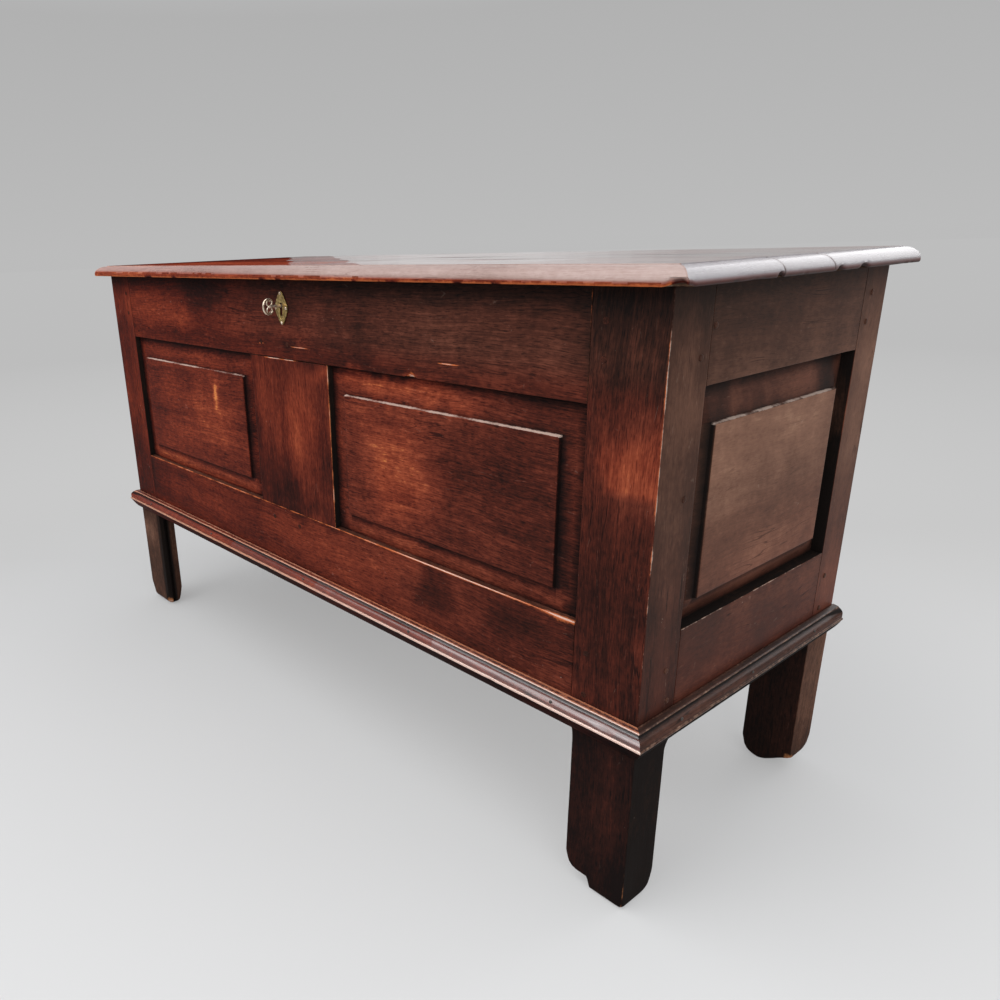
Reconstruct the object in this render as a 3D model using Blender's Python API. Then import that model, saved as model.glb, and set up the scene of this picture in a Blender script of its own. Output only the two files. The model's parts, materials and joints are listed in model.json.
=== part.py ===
"""A joined wooden coffer: a panelled carcass on four legs, a hinged plank lid, and a lock with its key.

Lengths are in millimetres here and become metres when a mesh is made. X runs along the front, Y from the
front to the back and Z up. The origin lies on the floor under the middle of the whole piece.
"""

import math

import bmesh
import bpy
from mathutils import Vector

for old in list(bpy.data.objects):
    bpy.data.objects.remove(old, do_unlink=True)

MM = 0.001

# Clearances: fitted faces, loose moving pieces, and lid pieces that swing past the frame
FIT = 0.3
PLAY = 1.2
SWING = 10.0

# How far a cutter or a joined body runs past the face it meets
PAST = 2.0

# Carcass outline
WIDTH = 1200.0
DEPTH = 437.5
CARCASS_TOP = 665.7
RAIL_UNDERSIDE = 204.0

# Corner posts, how far each leg is cut back below the rails, and the worn rounding of the feet
LEFT_POST_WIDTH = 78.0
RIGHT_POST_WIDTH = 83.0
FRONT_POST_DEPTH = 65.0
BACK_POST_WIDTH = 65.0
BACK_POST_DEPTH = 57.0
LEFT_LEG_DEPTH = 32.0
RIGHT_LEG_CUTBACK = 4.0
FRONT_LEG_CUTBACK = 8.0
BACK_LEG_CUTBACK = 2.5
LEG_SHOULDER = 8.0
FOOT_INSET = 7.0
FOOT_HEIGHT = 16.0
FOOT_STEPS = 4

# Rails and muntins
FRONT_TOP_RAIL = 109.2
FRONT_BOTTOM_RAIL = 122.7
SIDE_TOP_RAIL = 92.0
SIDE_BOTTOM_RAIL = 121.8
BACK_TOP_RAIL = 100.0
BACK_BOTTOM_RAIL = 116.0
FRONT_RAIL_THICK = 30.0
SIDE_RAIL_THICK = 30.0
BACK_RAIL_THICK = 25.0
LEFT_BAY = 420.0
FRONT_MUNTIN = 197.0
BACK_BAY = 475.0
BACK_MUNTIN = 120.0

# Panel grooves: the lip in front of each groove, its width and its depth
FRONT_LIP = 9.0
SIDE_LIP = 14.0
BACK_LIP = 8.0
GROOVE_WIDTH = 7.0
GROOVE_DEPTH = 8.0
GROOVE_SPARE = 0.8

# Mortise and tenon joints
TENON_LENGTH = 40.0
TENON_THICK = 9.0
TENON_SHOULDER = 14.0
MUNTIN_TENON = 32.0

# Drawbore pegs: offsets from the joint, from the tenon's edges and along the muntin
PEG_RADIUS = 3.7
PEG_TAPER = 0.6
PEG_PROUD = 0.6
PEG_STOP = 3.0
PEG_SETBACK = 16.0
PEG_UP = 29.0
PEG_DOWN = 17.0
MUNTIN_PEG = 20.7
MUNTIN_PEG_FIRST = 34.0
MUNTIN_PEG_PITCH = 69.0

# Fielded panels: margins round the raised field, its setback, its step and the slope of that step
FRONT_MARGIN = 33.0
FRONT_MARGIN_TOP = 37.0
FRONT_MARGIN_BOTTOM = 29.0
FRONT_FIELD_SETBACK = 1.0
SIDE_MARGIN = 29.0
SIDE_MARGIN_TOP = 40.0
SIDE_MARGIN_BOTTOM = 26.0
SIDE_FIELD_SETBACK = 2.0
FIELD_STEP = 4.5
STEP_RUN = 1.2

# Floor boards
FLOOR_BOARDS = 4
FLOOR_THICK = 12.0
FLOOR_RISE = 12.0
FLOOR_GROOVE = 8.0

# Base moulding, from its top edge down
MOULDING_TOP = 238.5
TOP_BEAD = 4.6
TOP_BEAD_REACH = 5.2
BAND_HEIGHT = 9.0
BAND_REACH = 12.6
LOWER_BEAD = 6.2
LOWER_BEAD_REACH = 15.4
TAIL_HEIGHT = 18.0
TAIL_REACH = 3.2
QUIRK = 1.2

# Lid boards and the thumb moulding on their edges
LID_THICK = 18.0
LID_FRONT_OVERHANG = 21.7
LID_SIDE_OVERHANG = 24.1
LID_BACK_OVERHANG = 18.0
LID_FRONT_BOARD = 159.5
LID_MIDDLE_BOARD = 102.0
THUMB_WIDTH = 19.0
THUMB_NOSE = 3.5
THUMB_FILLET = 1.2
THUMB_STEPS = 7
BATTEN_WIDTH = 40.0
BATTEN_THICK = 22.0

# Strap hinges
HINGE_SPREAD = 760.0
KNUCKLE_RADIUS = 5.0
KNUCKLE_LENGTH = 14.0
HINGE_WIDTH = 34.0
HINGE_THICK = 2.5
HINGE_LAP = 0.15
STRAP_LENGTH = 250.0
STRAP_TIP_WIDTH = 20.0
STRAP_POINT = 14.0
HINGE_PLATE_HEIGHT = 74.0
HINGE_PIN_RADIUS = 2.2

# Key, its axis and its bit
KEY_X = -5.0
KEY_DROP = 35.7
KEY_REACH = 31.5
BOW_LENGTH = 15.0
BOW_HEIGHT = 23.0
BOW_THICK = 4.0
BOW_WALL = 3.4
SHANK_RADIUS = 3.2
COLLAR_RADIUS = 4.4
COLLAR_LENGTH = 4.0
BIT_REACH = 12.3
BIT_THICK = 3.0
BIT_LENGTH = 11.0

# Escutcheon and its pins
ESCUTCHEON_WIDTH = 31.0
ESCUTCHEON_HEIGHT = 46.0
ESCUTCHEON_THICK = 1.6
ESCUTCHEON_WAIST = 0.13
ESCUTCHEON_DROP = 3.0
PIN_HEAD_RADIUS = 2.2
PIN_HEAD_HEIGHT = 1.4
PIN_SHANK_RADIUS = 0.8
PIN_LENGTH = 9.0
PIN_INSET = 3.0

# Lock behind the rail
LOCK_PLATE_THICK = 2.0
LOCK_PLATE_EAR = 15.0
LOCK_PLATE_MARGIN = 3.0
CASE_WIDTH = 90.0
CASE_ABOVE = 28.0
CASE_BELOW = 32.0
CASE_DEPTH = 20.0
CASE_WALL = 1.8
BOLT_RISE = 8.0
BOLT_HEIGHT = 10.0
BOLT_THICK = 7.0
BOLT_TAIL = 40.0
BOLT_NOSE = 12.0
BOLT_TRAVEL = 14.0
GUIDE_LENGTH = 22.0
GUIDE_THICK = 3.0
STAPLE_GAP = 3.0
STAPLE_THICK = 6.0
STAPLE_WIRE = 2.4
STAPLE_BAR = 3.0
STAPLE_PLATE_WIDTH = 40.0
STAPLE_PLATE_DEPTH = 30.0
STAPLE_PLATE_THICK = 2.5

# Planes and axes that the pieces share
LEFT = -WIDTH / 2
RIGHT = WIDTH / 2
FRONT = KEY_REACH - (KEY_REACH + DEPTH + LID_BACK_OVERHANG) / 2
BACK = FRONT + DEPTH
LID_UNDER = CARCASS_TOP + FIT
LID_TOP = LID_UNDER + LID_THICK
HINGE_Y = BACK + FIT + KNUCKLE_RADIUS
HINGE_Z = LID_UNDER - FIT - KNUCKLE_RADIUS
KEY_Z = CARCASS_TOP - KEY_DROP
RAIL_INSIDE = FRONT + FRONT_RAIL_THICK
BACK_INSIDE = BACK - BACK_RAIL_THICK
HINGE_AXIS = (0.0, HINGE_Y, HINGE_Z)
KEY_AXIS = (KEY_X, FRONT, KEY_Z)

# Each face of the carcass: rail thickness, lip, opening heights and the posts' inner edges
FACES = {
    "front": {
        "thick": FRONT_RAIL_THICK,
        "lip": FRONT_LIP,
        "low": RAIL_UNDERSIDE + FRONT_BOTTOM_RAIL,
        "high": CARCASS_TOP - FRONT_TOP_RAIL,
        "ends": (LEFT + LEFT_POST_WIDTH, RIGHT - RIGHT_POST_WIDTH),
    },
    "back": {
        "thick": BACK_RAIL_THICK,
        "lip": BACK_LIP,
        "low": RAIL_UNDERSIDE + BACK_BOTTOM_RAIL,
        "high": CARCASS_TOP - BACK_TOP_RAIL,
        "ends": (LEFT + BACK_POST_WIDTH, RIGHT - BACK_POST_WIDTH),
    },
}
for side in ("left", "right"):
    FACES[side] = {
        "thick": SIDE_RAIL_THICK,
        "lip": SIDE_LIP,
        "low": RAIL_UNDERSIDE + SIDE_BOTTOM_RAIL,
        "high": CARCASS_TOP - SIDE_TOP_RAIL,
        "ends": (FRONT + FRONT_POST_DEPTH, BACK - BACK_POST_DEPTH),
    }

# Colour, roughness and metallic value of each kind of piece
FINISHES = {
    "frame": ((0.105, 0.030, 0.014), 0.34, 0.0),
    "panel": ((0.125, 0.038, 0.017), 0.30, 0.0),
    "lid": ((0.130, 0.045, 0.022), 0.26, 0.0),
    "inside": ((0.200, 0.110, 0.055), 0.60, 0.0),
    "peg": ((0.060, 0.020, 0.010), 0.45, 0.0),
    "iron": ((0.060, 0.056, 0.052), 0.55, 1.0),
    "steel": ((0.300, 0.290, 0.280), 0.40, 1.0),
    "brass": ((0.560, 0.370, 0.130), 0.32, 1.0),
}

cutters = bpy.data.collections.new("cutters")
cutters.hide_render = True
bpy.context.scene.collection.children.link(cutters)


def box(x, y, z):
    """Two rings of a box from its (low, high) pairs."""
    return [[(x[0], y[0], h), (x[1], y[0], h), (x[1], y[1], h), (x[0], y[1], h)] for h in z]


def grown(pairs, by):
    """The (low, high) pairs of a box, larger by a clearance on every side."""
    return [(low - by, high + by) for low, high in pairs]


def turned(axis, centre, profile, sides=20):
    """Rings of a round body along X or Y, from (distance, radius) pairs."""
    rings = []
    for distance, radius in profile:
        ring = []
        for i in range(sides):
            angle = 2 * math.pi * i / sides
            a = centre[0] + radius * math.cos(angle)
            b = centre[1] + radius * math.sin(angle)
            ring.append((distance, a, b) if axis == "X" else (a, distance, b))
        rings.append(ring)
    return rings


def on_face(face, u, w, z):
    """The (low, high) pairs of a box on one face: u along it, w inwards from it, z up."""
    if face == "front":
        return [u, (FRONT + w[0], FRONT + w[1]), z]
    if face == "back":
        return [u, (BACK - w[1], BACK - w[0]), z]
    if face == "left":
        return [(LEFT + w[0], LEFT + w[1]), u, z]
    return [(RIGHT - w[1], RIGHT - w[0]), u, z]


def mesh_of(name, bodies, origin=(0.0, 0.0, 0.0)):
    """Mesh of closed bodies, each lofted through its rings and capped at both ends."""
    shift = Vector(origin)
    bm = bmesh.new()
    for rings in bodies:
        loops = [[bm.verts.new((Vector(point) - shift) * MM) for point in ring] for ring in rings]
        for near, far in zip(loops, loops[1:]):
            for i, vert in enumerate(near):
                j = (i + 1) % len(near)
                bm.faces.new((vert, near[j], far[j], far[i]))
        bm.faces.new(loops[0])
        bm.faces.new(loops[-1])
    bmesh.ops.recalc_face_normals(bm, faces=bm.faces)
    mesh = bpy.data.meshes.new(name)
    bm.to_mesh(mesh)
    bm.free()
    mesh.shade_smooth()
    mesh.set_sharp_from_angle(angle=math.radians(35))
    return mesh


def combine(obj, bodies, operation, origin):
    """Boolean of one object with a hidden helper that holds the bodies."""
    mesh = mesh_of(f"{obj.name}_{operation.lower()}", bodies, origin)
    helper = bpy.data.objects.new(mesh.name, mesh)
    helper.location = Vector(origin) * MM
    helper.hide_render = True
    helper.display_type = "WIRE"
    cutters.objects.link(helper)
    modifier = obj.modifiers.new(operation.lower(), "BOOLEAN")
    modifier.operation = operation
    modifier.solver = "EXACT"
    modifier.use_self = True
    modifier.object = helper


def piece(name, finish, body, joined=(), cut=(), origin=(0.0, 0.0, 0.0)):
    """One closed body with its own material, after what is joined to it and cut from it."""
    obj = bpy.data.objects.new(name, mesh_of(name, [body], origin))
    obj.location = Vector(origin) * MM
    bpy.context.scene.collection.objects.link(obj)
    if joined:
        combine(obj, joined, "UNION", origin)
    if cut:
        combine(obj, cut, "DIFFERENCE", origin)
    colour, roughness, metallic = FINISHES[finish]
    material = bpy.data.materials.new(name)
    material.use_nodes = True
    shader = material.node_tree.nodes["Principled BSDF"]
    shader.inputs["Base Color"].default_value = (*colour, 1.0)
    shader.inputs["Roughness"].default_value = roughness
    shader.inputs["Metallic"].default_value = metallic
    obj.data.materials.append(material)


def rail_heights(face, level):
    """Lower and upper edge of a top or bottom rail."""
    if level == "top":
        return FACES[face]["high"], CARCASS_TOP
    return RAIL_UNDERSIDE, FACES[face]["low"]


def tenon(face, level, end):
    """Box of one rail tenon, run a little way into the rail."""
    low, high = rail_heights(face, level)
    lip = FACES[face]["lip"]
    edge = FACES[face]["ends"][end]
    u = (edge - TENON_LENGTH, edge + PAST) if end == 0 else (edge - PAST, edge + TENON_LENGTH)
    return on_face(face, u, (lip, lip + TENON_THICK), (low + TENON_SHOULDER, high - TENON_SHOULDER))


def muntin_tenon(face, edges):
    """Box of a muntin's tenon through both of its ends."""
    lip = FACES[face]["lip"]
    u = (edges[0] + TENON_SHOULDER, edges[1] - TENON_SHOULDER)
    z = (FACES[face]["low"] - MUNTIN_TENON, FACES[face]["high"] + MUNTIN_TENON)
    return on_face(face, u, (lip, lip + TENON_THICK), z)


def groove(face, u, z):
    """Panel groove on one face."""
    lip = FACES[face]["lip"]
    return box(*on_face(face, u, (lip, lip + GROOVE_WIDTH), z))


def peg_hole(place):
    """Bore through the front frame for one peg."""
    stop = FRONT + FRONT_RAIL_THICK - PEG_STOP
    return turned("Y", place, [(FRONT - PAST, PEG_RADIUS + FIT), (stop + FIT, PEG_RADIUS + FIT)], 12)


def post(name, x, y, leg, joints, cuts=()):
    """Corner post on a slimmer leg with a worn foot, and the mortises and grooves of its two faces."""
    rings = []
    for i in range(FOOT_STEPS + 1):
        angle = math.pi / 2 * i / FOOT_STEPS
        inset = FOOT_INSET * (1 - math.sin(angle))
        rings += box(*grown(leg, -inset), [FOOT_HEIGHT * (1 - math.cos(angle))])
    rings += box(*leg, [RAIL_UNDERSIDE - LEG_SHOULDER]) + box(x, y, [RAIL_UNDERSIDE, CARCASS_TOP])
    cut = list(cuts)
    for face, end in joints:
        for level in ("top", "bottom"):
            cut.append(box(*grown(tenon(face, level, end), FIT)))
        edge = FACES[face]["ends"][end]
        u = (edge - GROOVE_DEPTH, edge + PAST) if end == 0 else (edge - PAST, edge + GROOVE_DEPTH)
        cut.append(groove(face, u, (FACES[face]["low"] - GROOVE_DEPTH, FACES[face]["high"] + GROOVE_DEPTH)))
    piece(name, "frame", rings, cut=cut)


def rail(name, face, level, finish="frame", cut=()):
    """Rail with a tenon at each end and a panel groove along its inner edge."""
    low, high = rail_heights(face, level)
    start, end = FACES[face]["ends"]
    body = on_face(face, (start + FIT, end - FIT), (0.0, FACES[face]["thick"]), (low, high))
    edge = (low - PAST, low + GROOVE_DEPTH) if level == "top" else (high - GROOVE_DEPTH, high + PAST)
    cuts = [groove(face, (start, end), edge), *cut]
    joined = [box(*tenon(face, level, i)) for i in (0, 1)]
    piece(name, finish, box(*body), joined, cuts)


def muntin(name, face, edges, cut=()):
    """Upright between two panels, tenoned into both rails."""
    low, high = FACES[face]["low"], FACES[face]["high"]
    body = on_face(face, edges, (0.0, FACES[face]["thick"]), (low + FIT, high - FIT))
    full = (low - PAST, high + PAST)
    cuts = [
        groove(face, (edges[0] - PAST, edges[0] + GROOVE_DEPTH), full),
        groove(face, (edges[1] - GROOVE_DEPTH, edges[1] + PAST), full),
        *cut,
    ]
    piece(name, "frame", box(*body), [box(*muntin_tenon(face, edges))], cuts)


def panel(name, face, u, finish, field=None):
    """Panel held by its tongue in the grooves, with a raised field where margins are given."""
    low, high = FACES[face]["low"], FACES[face]["high"]
    front = FACES[face]["lip"] + FIT
    back = FACES[face]["lip"] + GROOVE_WIDTH - FIT
    reach = GROOVE_DEPTH - GROOVE_SPARE
    tongue = ((u[0] - reach, u[1] + reach), (low - reach, high + reach))
    levels = [(*tongue, back), (*tongue, front)]
    if field:
        margin, margin_top, margin_bottom, setback = field
        inner = ((u[0] + margin, u[1] - margin), (low + margin_bottom, high - margin_top))
        levels.append(((u[0] + FIT, u[1] - FIT), (low + FIT, high - FIT), front))
        levels.append((*grown(inner, STEP_RUN), setback + FIELD_STEP))
        levels.append((*inner, setback))
    rings = []
    for along, up, depth in levels:
        corners = ((along[0], up[0]), (along[1], up[0]), (along[1], up[1]), (along[0], up[1]))
        flat = [on_face(face, (a, a), (depth, depth), (b, b)) for a, b in corners]
        rings.append([tuple(pair[0] for pair in point) for point in flat])
    piece(name, finish, rings)


# Where the panels and muntins meet the front and the back
front_start, front_end = FACES["front"]["ends"]
front_muntin = (front_start + LEFT_BAY, front_start + LEFT_BAY + FRONT_MUNTIN)
back_start, back_end = FACES["back"]["ends"]
back_muntin = (back_start + BACK_BAY, back_start + BACK_BAY + BACK_MUNTIN)

# Peg places on the front, as (x, z)
pegs = {}
for level in ("top", "bottom"):
    low, high = rail_heights("front", level)
    heights = {"lower": low + TENON_SHOULDER + PEG_UP, "upper": high - TENON_SHOULDER - PEG_DOWN}
    for row, height in heights.items():
        pegs[f"peg_left_{level}_{row}"] = (front_start - PEG_SETBACK, height)
        pegs[f"peg_right_{level}_{row}"] = (front_end + PEG_SETBACK, height)
    middle = low + MUNTIN_PEG if level == "top" else high - MUNTIN_PEG
    for i, row in enumerate(("first", "second")):
        pegs[f"peg_muntin_{level}_{row}"] = (front_muntin[0] + MUNTIN_PEG_FIRST + i * MUNTIN_PEG_PITCH, middle)


def holes_for(*words):
    """Peg bores whose peg's name holds any of the words."""
    return [peg_hole(place) for name, place in pegs.items() if any(word in name for word in words)]


# Corner posts: the left one at the front has its panel groove run on down the leg
post_front = (FRONT, FRONT + FRONT_POST_DEPTH)
post_back = (BACK - BACK_POST_DEPTH, BACK)
leg_back = (post_back[0] + BACK_LEG_CUTBACK, BACK)
across = (LEFT - PAST, RIGHT + PAST)
leg_groove = groove("front", (front_start - GROOVE_DEPTH, front_start + PAST), (-PAST, RAIL_UNDERSIDE + PAST))
post(
    "front_left_post",
    (LEFT, front_start),
    post_front,
    ((LEFT, front_start), (FRONT, FRONT + LEFT_LEG_DEPTH)),
    (("front", 0), ("left", 0)),
    [leg_groove, *holes_for("peg_left")],
)
post(
    "front_right_post",
    (front_end, RIGHT),
    post_front,
    ((front_end + RIGHT_LEG_CUTBACK, RIGHT), (FRONT, post_front[1] - FRONT_LEG_CUTBACK)),
    (("front", 1), ("right", 0)),
    holes_for("peg_right"),
)
post("back_left_post", (LEFT, back_start), post_back, ((LEFT, back_start), leg_back), (("back", 0), ("left", 1)))
post("back_right_post", (back_end, RIGHT), post_back, ((back_end, RIGHT), leg_back), (("back", 1), ("right", 1)))

# Keyhole and escutcheon outlines, seen from the front
slot_half = BIT_THICK / 2 + FIT
slot_drop = BIT_REACH + FIT


def keyhole(y, ease):
    """Keyhole cutter between two depths, larger than the key by an ease."""
    radius = SHANK_RADIUS + ease
    half = slot_half + ease
    neck = math.asin(half / radius)
    ring = [(KEY_X - half, KEY_Z - slot_drop - ease), (KEY_X + half, KEY_Z - slot_drop - ease)]
    for i in range(17):
        angle = -math.pi / 2 + neck + (2 * math.pi - 2 * neck) * i / 16
        ring.append((KEY_X + radius * math.cos(angle), KEY_Z + radius * math.sin(angle)))
    return [[(a, depth, b) for a, b in ring] for depth in y]


escutcheon_z = KEY_Z - ESCUTCHEON_DROP
pin_x = ESCUTCHEON_WIDTH / 2 - PIN_INSET
pin_z = ESCUTCHEON_HEIGHT / 2 - PIN_INSET
pins = {
    "escutcheon_pin_top": (KEY_X, escutcheon_z + pin_z),
    "escutcheon_pin_bottom": (KEY_X, escutcheon_z - pin_z),
    "escutcheon_pin_left": (KEY_X - pin_x, escutcheon_z),
    "escutcheon_pin_right": (KEY_X + pin_x, escutcheon_z),
}
pin_bores = [
    turned("Y", place, [(FRONT - PAST - FIT - ESCUTCHEON_THICK, PIN_SHANK_RADIUS + FIT),
                        (FRONT + PIN_LENGTH + FIT, PIN_SHANK_RADIUS + FIT)], 8)
    for place in pins.values()
]

# Front frame
front_mortise = box(*grown(muntin_tenon("front", front_muntin), FIT))
rail_keyhole = keyhole((FRONT - PAST, RAIL_INSIDE + PAST), PLAY)
rail(
    "front_top_rail",
    "front",
    "top",
    cut=[front_mortise, rail_keyhole, *holes_for("_top_"), *pin_bores],
)
floor_z = (RAIL_UNDERSIDE + FLOOR_RISE, RAIL_UNDERSIDE + FLOOR_RISE + FLOOR_THICK)
floor_groove_front = box(across, (RAIL_INSIDE - FLOOR_GROOVE, RAIL_INSIDE + PAST), grown([floor_z], FIT)[0])
floor_groove_back = box(across, (BACK_INSIDE - PAST, BACK_INSIDE + FLOOR_GROOVE), grown([floor_z], FIT)[0])
rail(
    "front_bottom_rail",
    "front",
    "bottom",
    cut=[front_mortise, floor_groove_front, *holes_for("_bottom_")],
)
muntin("front_muntin", "front", front_muntin, holes_for("peg_muntin"))
front_field = (FRONT_MARGIN, FRONT_MARGIN_TOP, FRONT_MARGIN_BOTTOM, FRONT_FIELD_SETBACK)
panel("front_left_panel", "front", (front_start, front_muntin[0]), "panel", front_field)
panel("front_right_panel", "front", (front_muntin[1], front_end), "panel", front_field)

# Side frames
side_field = (SIDE_MARGIN, SIDE_MARGIN_TOP, SIDE_MARGIN_BOTTOM, SIDE_FIELD_SETBACK)
for side in ("left", "right"):
    rail(f"{side}_top_rail", side, "top")
    rail(f"{side}_bottom_rail", side, "bottom")
    panel(f"{side}_panel", side, FACES[side]["ends"], "panel", side_field)

# Back frame, with notches for the hinge straps in its top edge
strap_top = HINGE_Z + KNUCKLE_RADIUS - HINGE_LAP
strap_under = strap_top - HINGE_THICK
hinge_places = {"left": -HINGE_SPREAD / 2, "right": HINGE_SPREAD / 2}
back_mortise = box(*grown(muntin_tenon("back", back_muntin), FIT))
notches = []
for place in hinge_places.values():
    notch_x = (place - HINGE_WIDTH / 2 - FIT, place + HINGE_WIDTH / 2 + FIT)
    notches.append(box(notch_x, (BACK_INSIDE - PAST, BACK + PAST), (strap_under - FIT, CARCASS_TOP + PAST)))
rail("back_top_rail", "back", "top", "inside", [back_mortise, *notches])
rail("back_bottom_rail", "back", "bottom", "inside", [back_mortise, floor_groove_back])
muntin("back_muntin", "back", back_muntin)
panel("back_left_panel", "back", (back_start, back_muntin[0]), "inside")
panel("back_right_panel", "back", (back_muntin[1], back_end), "inside")

# Floor boards, the outer ones notched round the posts
inner_left = LEFT + SIDE_RAIL_THICK
inner_right = RIGHT - SIDE_RAIL_THICK
pitch = (inner_right - inner_left) / FLOOR_BOARDS
floor_y = (RAIL_INSIDE - FLOOR_GROOVE + FIT, BACK_INSIDE + FLOOR_GROOVE - FIT)
ahead = (FRONT, post_front[1] + FIT)
behind = (post_back[0] - FIT, BACK)
corners = [
    ((LEFT, front_start + FIT), ahead),
    ((front_end - FIT, RIGHT), ahead),
    ((LEFT, back_start + FIT), behind),
    ((back_end - FIT, RIGHT), behind),
]
for i in range(FLOOR_BOARDS):
    board_x = (inner_left + i * pitch + FIT, inner_left + (i + 1) * pitch - FIT)
    met = [box(cx, cy, grown([floor_z], PAST)[0]) for cx, cy in corners if cx[0] < board_x[1] and cx[1] > board_x[0]]
    piece(f"floor_board_{i + 1}", "inside", box(board_x, floor_y, floor_z), cut=met)

# Pegs
for name, place in pegs.items():
    stop = FRONT + FRONT_RAIL_THICK - PEG_STOP
    profile = [(FRONT - PEG_PROUD, PEG_RADIUS - PEG_TAPER), (FRONT, PEG_RADIUS), (stop, PEG_RADIUS - PEG_TAPER)]
    piece(name, "peg", turned("Y", place, profile, 12))


def moulding_profile():
    """Base moulding section as (reach, height): bead, ogee band, bead and hollow tail."""
    points = [(FIT, 0.0), (TOP_BEAD_REACH - TOP_BEAD / 2, 0.0)]
    for i in range(1, 7):
        angle = math.pi / 2 - math.pi * i / 7
        points.append((TOP_BEAD_REACH - TOP_BEAD / 2 + TOP_BEAD / 2 * math.cos(angle),
                       -TOP_BEAD / 2 + TOP_BEAD / 2 * math.sin(angle)))
    band_top = -TOP_BEAD - QUIRK
    start = TOP_BEAD_REACH - TOP_BEAD / 2
    points.append((start, -TOP_BEAD))
    for i in range(7):
        share = i / 6
        swell = math.sin(share * math.pi / 2)
        points.append((start + (BAND_REACH - start) * swell, band_top - BAND_HEIGHT * share))
    bead_top = band_top - BAND_HEIGHT - QUIRK
    centre = LOWER_BEAD_REACH - LOWER_BEAD / 2
    for i in range(7):
        angle = math.pi / 2 - math.pi * i / 6
        points.append((centre + LOWER_BEAD / 2 * math.cos(angle),
                       bead_top - LOWER_BEAD / 2 + LOWER_BEAD / 2 * math.sin(angle)))
    tail_top = bead_top - LOWER_BEAD
    for i in range(1, 6):
        share = i / 5
        points.append((TAIL_REACH + (centre - TAIL_REACH) * (1 - share) ** 2, tail_top - TAIL_HEIGHT * share))
    points.append((FIT, tail_top - TAIL_HEIGHT))
    return [(reach, MOULDING_TOP + height) for reach, height in points]


# Base mouldings, mitred at the front corners with a fine open joint
section = moulding_profile()
mitre = FIT / math.sqrt(2)
piece("moulding_front", "frame", [
    [(LEFT - reach + mitre, FRONT - reach, height) for reach, height in section],
    [(RIGHT + reach - mitre, FRONT - reach, height) for reach, height in section],
])
for name, wall, out in (("moulding_left", LEFT, -1), ("moulding_right", RIGHT, 1)):
    piece(name, "frame", [
        [(wall + out * reach, FRONT - reach + mitre, height) for reach, height in section],
        [(wall + out * reach, BACK, height) for reach, height in section],
    ])

# Lid boards: each level is a rectangle drawn in by the thumb moulding on its moulded edges
lid_front = FRONT - LID_FRONT_OVERHANG
lid_back = BACK + LID_BACK_OVERHANG
lid_half = WIDTH / 2 + LID_SIDE_OVERHANG
lid_joints = (lid_front + LID_FRONT_BOARD, lid_front + LID_FRONT_BOARD + LID_MIDDLE_BOARD)
thumb = [(0.0, 0.0)]
for i in range(THUMB_STEPS + 1):
    angle = math.pi / 2 * i / THUMB_STEPS
    rise = LID_THICK - THUMB_NOSE - THUMB_FILLET
    thumb.append((THUMB_WIDTH * (1 - math.cos(angle)), THUMB_NOSE + rise * math.sin(angle)))
thumb.append((THUMB_WIDTH + FIT, LID_THICK))
lid_boards = {
    "lid_front_board": (lid_front, lid_joints[0] - FIT / 2, 1),
    "lid_middle_board": (lid_joints[0] + FIT / 2, lid_joints[1] - FIT / 2, 0),
    "lid_back_board": (lid_joints[1] + FIT / 2, lid_back, 0),
}
for name, (near, far, moulded) in lid_boards.items():
    rings = []
    for inset, height in thumb:
        x = lid_half - inset
        y = near + inset * moulded
        rings.append([(-x, y, LID_UNDER + height), (x, y, LID_UNDER + height),
                      (x, far, LID_UNDER + height), (-x, far, LID_UNDER + height)])
    piece(name, "lid", rings, origin=HINGE_AXIS)

# Battens across the lid's underside, clear of the posts and rails as the lid swings
batten_z = (LID_UNDER - FIT - BATTEN_THICK, LID_UNDER - FIT)
batten_y = (RAIL_INSIDE + SWING, BACK_INSIDE - SWING)
left_batten = front_start + SWING
right_batten = front_end - SWING
piece("lid_left_batten", "inside", box((left_batten, left_batten + BATTEN_WIDTH), batten_y, batten_z), origin=HINGE_AXIS)
piece("lid_right_batten", "inside", box((right_batten - BATTEN_WIDTH, right_batten), batten_y, batten_z), origin=HINGE_AXIS)

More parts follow.
